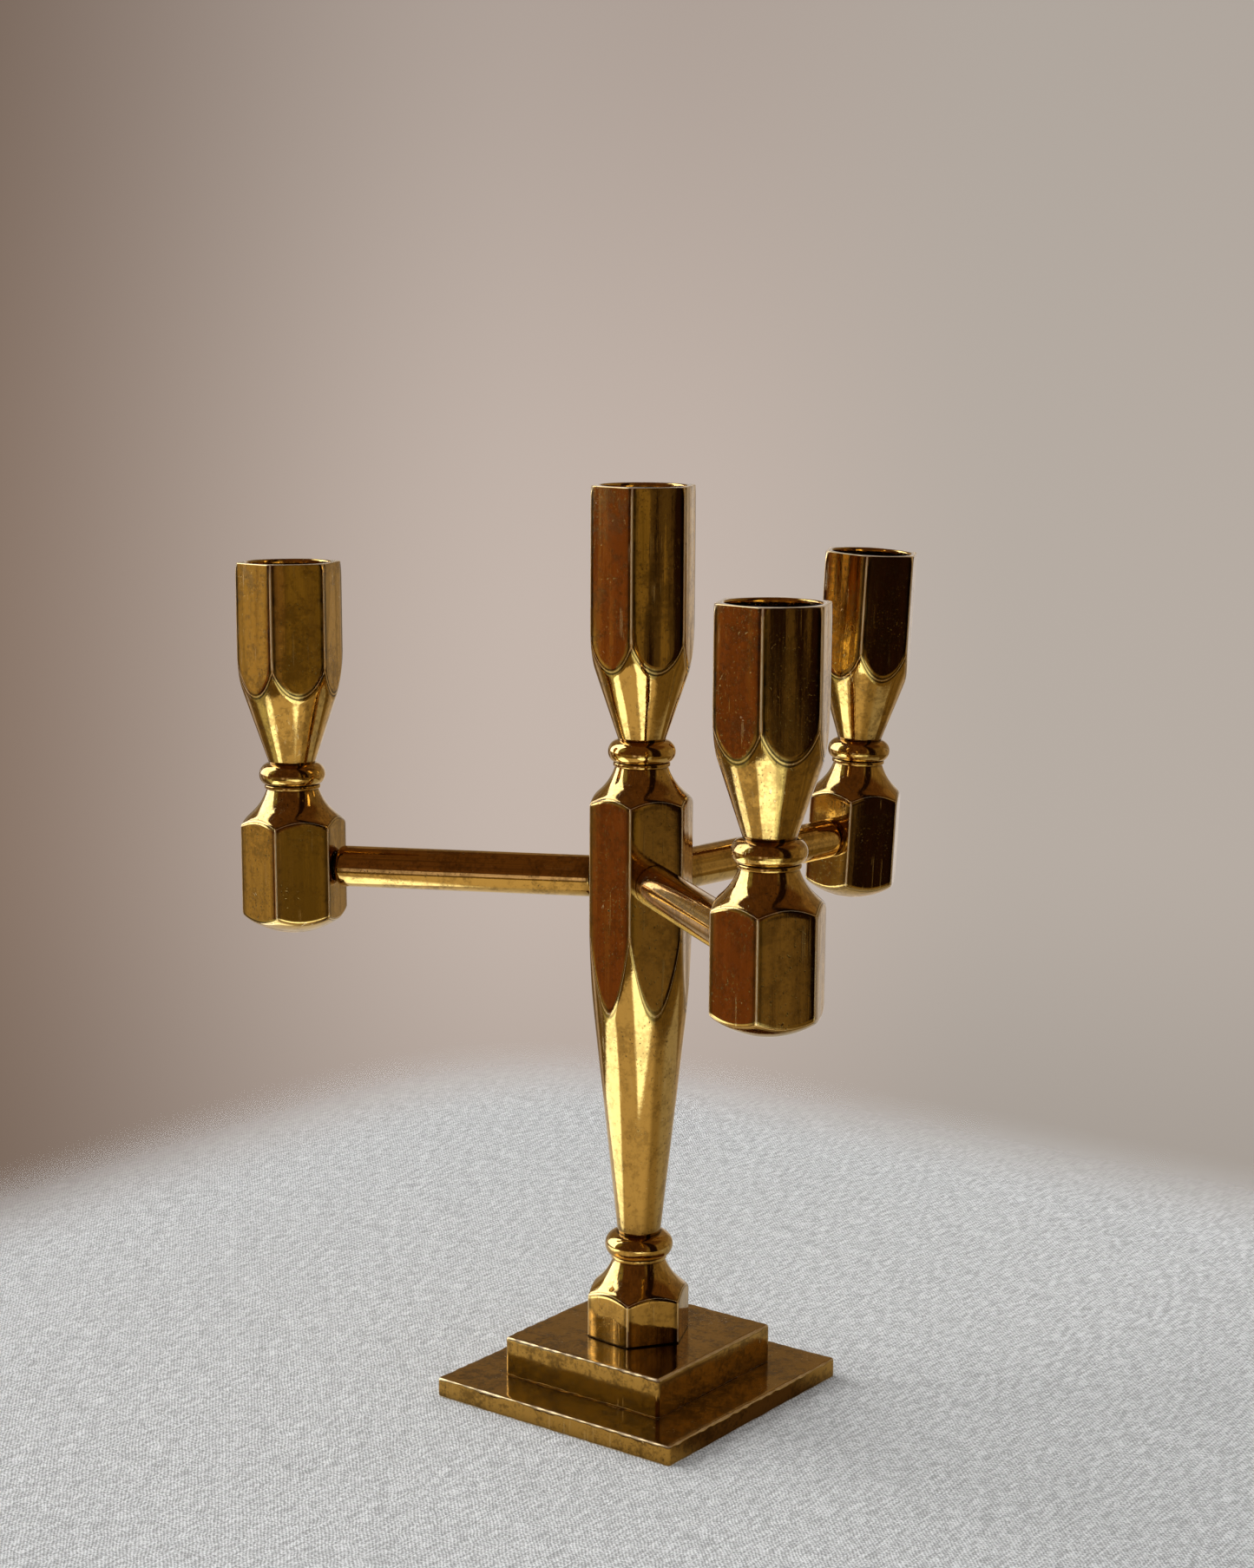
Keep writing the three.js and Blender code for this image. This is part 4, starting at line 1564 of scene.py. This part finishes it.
@dataclass(frozen=True)
class Room:
    """Dim warm room that only the metal mirrors: floor, wall and ceiling, with plain panels."""

    floor: Colour = rgb(0.15, 0.10, 0.035)
    wall: Colour = rgb(0.22, 0.15, 0.065)
    ceiling: Colour = rgb(0.10, 0.045, 0.016)
    wall_from: Range = (-19.0, -16.0)
    ceiling_from: Range = (30.0, 45.0)
    sunlit_floor: Panel = Panel((148, 192), (-100, -17), rgb(1.1, 1.25, 1.15), 8.0, 2.0)
    pale_floor: Panel = Panel((-42, 48), (-100, -17), rgb(0.54, 0.47, 0.40), 10.0, 2.0)
    window_floor: Panel = Panel((-110, -80), (-100, -17), rgb(0.50, 0.50, 0.33), 7.0, 2.0)
    dusk: Panel = Panel((152, 256), (-3, 45), rgb(0.10, 0.045, 0.018), 5.0)
    far_corner: Panel = Panel((-52, 28), (-3, 14), rgb(0.33, 0.28, 0.21), 6.0)
    far_upper: Panel = Panel((-30, 60), (14, 41), rgb(0.23, 0.16, 0.09), 6.0)
    right_wall: Panel = Panel((28, 78), (-19, 14), rgb(0.32, 0.25, 0.16), 8.0)
    pale_wall: Panel = Panel((-6, 23), (-19, 12), rgb(0.63, 0.58, 0.55), 7.0)
    dark_gap: Panel = Panel((-34, -20), (-19, -3), rgb(0.13, 0.08, 0.035), 6.0)
    frame: Panel = Panel((-46, -38), (-19, -3), rgb(0.62, 0.55, 0.57), 4.0)
    radiator: Panel = Panel((-72, -62), (-19, -3), rgb(0.62, 0.54, 0.60), 4.0)
    red_chest: Panel = Panel((-103, -92), (-19, -2), rgb(0.18, 0.065, 0.024), 3.0, 1.5)
    oak_chest: Panel = Panel((-90, -80), (-19, -2), rgb(0.40, 0.30, 0.145), 3.0, 1.5)
    pale_chest: Panel = Panel((-157, -147), (-19, -3), rgb(0.70, 0.60, 0.70), 4.0, 1.5)
    pale_post: Panel = Panel((-176, -167), (-19, -3), rgb(0.55, 0.46, 0.48), 4.0, 1.5)
    curtain: Panel = Panel((146, 156), (-14, 4), rgb(0.17, 0.115, 0.03), 3.0)
    doorway: Panel = Panel((115, 144), (-10, 90), rgb(0.014, 0.006, 0.004), 4.0, 2.0)
    dark_chest: Panel = Panel((115, 140), (-18, -7), rgb(0.014, 0.006, 0.004), 4.0, 2.0)
    sill: Panel = Panel((-93, -47), (-3, 4), rgb(0.78, 0.78, 0.85), 2.0, 1.5)
    upper_wall: Panel = Panel((-112, -90), (14, 41), rgb(0.26, 0.23, 0.10), 5.0)
    lamp_glow: Panel = Panel((30, 62), (30, 60), rgb(0.23, 0.14, 0.06), 10.0, 8.0)
    window: Panel = Panel((-93, -46), (-1.2, 53), rgb(3.1, 3.4, 4.3), 2.0, 2.0)
    clutter: float = 2.0
    clutter_least: float = 0.2
    clutter_size: tuple[float, float] = (0.5, 0.05)

    def panels(self) -> list[Panel]:
        """All panels in the order of the fields above, in which a later one covers an earlier one."""
        return [value for value in vars(self).values() if isinstance(value, Panel)]

    def light(self, gaze: Gaze) -> Wire:
        """Light of the room in a direction, made uneven by its clutter everywhere but in the window.

        Args:
            gaze: The direction.

        Returns:
            The colour of the light.
        """
        sheet = gaze.sheet
        light = sheet.mix(gaze.above.step(*self.wall_from), self.floor, self.wall)
        light = sheet.mix(gaze.above.step(*self.ceiling_from), light, self.ceiling)
        for panel in self.panels()[:-1]:
            light = sheet.mix(panel.mask(gaze), light, panel.light)
        wide, tall = self.clutter_size
        where = sheet.node("ShaderNodeCombineXYZ", {}, {0: gaze.around * wide, 1: gaze.above * tall})
        clutter = (sheet.noise(where, Grain(1.0)) * self.clutter).at_least(self.clutter_least)
        return sheet.mix(self.window.mask(gaze), sheet.scaled(light, clutter), self.window.light)


@dataclass(frozen=True)
class Backdrop:
    """Plain wall behind, dimmer to the left of straight ahead and towards its top and foot."""

    wall: Colour = rgb(0.47, 0.415, 0.368)
    lit: Colour = rgb(0.555, 0.465, 0.41)
    dim: Colour = rgb(0.215, 0.147, 0.107)
    dim_from: Range = (-75.0, -35.0)
    lit_from: Range = (-16.5, -2.0)
    lit_to: Range = (0.0, 8.0)
    foot: Range = (-19.0, -10.0)
    foot_loss: float = 0.21
    top: Range = (-7.0, 9.0)
    top_loss: float = 0.25
    right_to: Range = (60.0, 130.0)
    right_gain: float = 0.17

    def light(self, gaze: Gaze) -> Wire:
        """Colour of the wall in a direction.

        Args:
            gaze: The direction.

        Returns:
            The colour.
        """
        right, high = gaze.around.step(*self.lit_to), gaze.above.step(*self.top)
        wall = gaze.sheet.mix(gaze.around.step(*self.dim_from), self.wall, self.dim)
        wall = gaze.sheet.mix(gaze.around.step(*self.lit_from), wall, self.lit)
        wall = gaze.sheet.mix(right, wall, self.wall)
        share = gaze.above.step(*self.foot) * self.foot_loss + (1 - self.foot_loss)
        share = share * (1 - high * self.top_loss)
        share = share + high * right * (1 - gaze.around.step(*self.right_to)) * self.right_gain
        return gaze.sheet.scaled(wall, share)


@dataclass(frozen=True)
class Studio:
    """Plain pale floor, soft light from the left and a dim warm room for the metal to mirror."""

    floor: Floor = Floor()
    cloth: Cloth = Cloth()
    room: Room = Room()
    backdrop: Backdrop = Backdrop()
    floor_half: float = 1.5
    cloth_half: float = 0.4
    cloth_below: float = 0.0004
    ahead: tuple[float, float] = (-0.5946, 0.804)
    sky: Colour = rgb(0.46, 0.46, 0.46)
    side_light: Colour = rgb(4.6, 4.6, 4.6)
    side_from: Range = (-105.0, -85.0)
    side_to: Range = (-50.0, -30.0)
    side_foot: Range = (5.0, 20.0)
    side_top: Range = (45.0, 65.0)

    def lay(self, name: str, half: float, z: float, material: bpy.types.Material) -> bpy.types.Object:
        """Lays a square sheet on the ground, with its sizes in metres.

        Args:
            name: Name of the sheet.
            half: Half its side.
            z: Its height.
            material: Its material.

        Returns:
            The sheet.
        """
        mesh = bpy.data.meshes.new(name)
        corners = [(-half, -half, z), (half, -half, z), (half, half, z), (-half, half, z)]
        mesh.from_pydata(corners, [], [(0, 1, 2, 3)])
        mesh.materials.append(material)
        sheet = bpy.data.objects.new(name, mesh)
        bpy.context.scene.collection.objects.link(sheet)
        LOG.info("%s: %.1f m square", name, 2 * half)
        return sheet

    def build(self) -> None:
        """Makes the floor, the glowing cloth that the metal mirrors, and the light."""
        floor = self.lay("floor", self.floor_half, 0.0, self.floor.material())
        floor.visible_glossy = False
        cloth = self.lay("floor_glow", self.cloth_half, -self.cloth_below, self.cloth.material())
        cloth.visible_camera = cloth.visible_diffuse = cloth.visible_shadow = False
        self.light()

    def soft_light(self, gaze: Gaze) -> Wire:
        """Light that the floor takes in: an even sky with a soft bright part at the left.

        Args:
            gaze: The direction.

        Returns:
            The colour of the light.
        """
        share = gaze.around.step(*self.side_from) * (1 - gaze.around.step(*self.side_to))
        share = share * gaze.above.step(*self.side_foot) * (1 - gaze.above.step(*self.side_top))
        return gaze.sheet.mix(share, self.sky, self.side_light)

    def light(self) -> None:
        """Makes the light: the room for the metal, a soft sky for the floor, a plain backdrop."""
        world = bpy.data.worlds.new("studio")
        bpy.context.scene.world = world
        world.cycles.sampling_method = "NONE"
        bpy.context.scene.view_settings.view_transform = "Standard"
        sheet = NodeSheet(world)
        x, y, z = sheet.axes(sheet.node("ShaderNodeTexCoord", {}, {}, "Generated"))
        ahead = x * self.ahead[0] + y * self.ahead[1]
        right = x * self.ahead[1] - y * self.ahead[0]
        degrees = 180 / math.pi
        gaze = Gaze(sheet.math("ARCTAN2", right, ahead) * degrees, sheet.math("ARCSINE", z) * degrees)
        seen = sheet.node("ShaderNodeLightPath", {}, {}, "Is Camera Ray")
        scattered = Wire(sheet, seen.socket.node.outputs["Is Diffuse Ray"])
        shown = sheet.mix(scattered, self.room.light(gaze), self.soft_light(gaze))
        shown = sheet.mix(seen, shown, self.backdrop.light(gaze))
        sheet.show(sheet.node("ShaderNodeBackground", {}, {"Color": shown, "Strength": 1.0}), "World")


# ---------------------------------------------------------------- all of it


def main() -> None:
    """Builds the dressed candelabra, its stage, light and camera."""
    logging.basicConfig(level=logging.INFO, format="%(name)s: %(message)s")
    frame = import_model()
    nodes = frame["nodes"]
    Viewpoint().build()
    stem = Stem()
    Base().build(nodes)
    stem.build(nodes)
    for arm in ARMS:
        arm.build(nodes, stem)
    Studio().build()


if __name__ == "__main__":
    main()
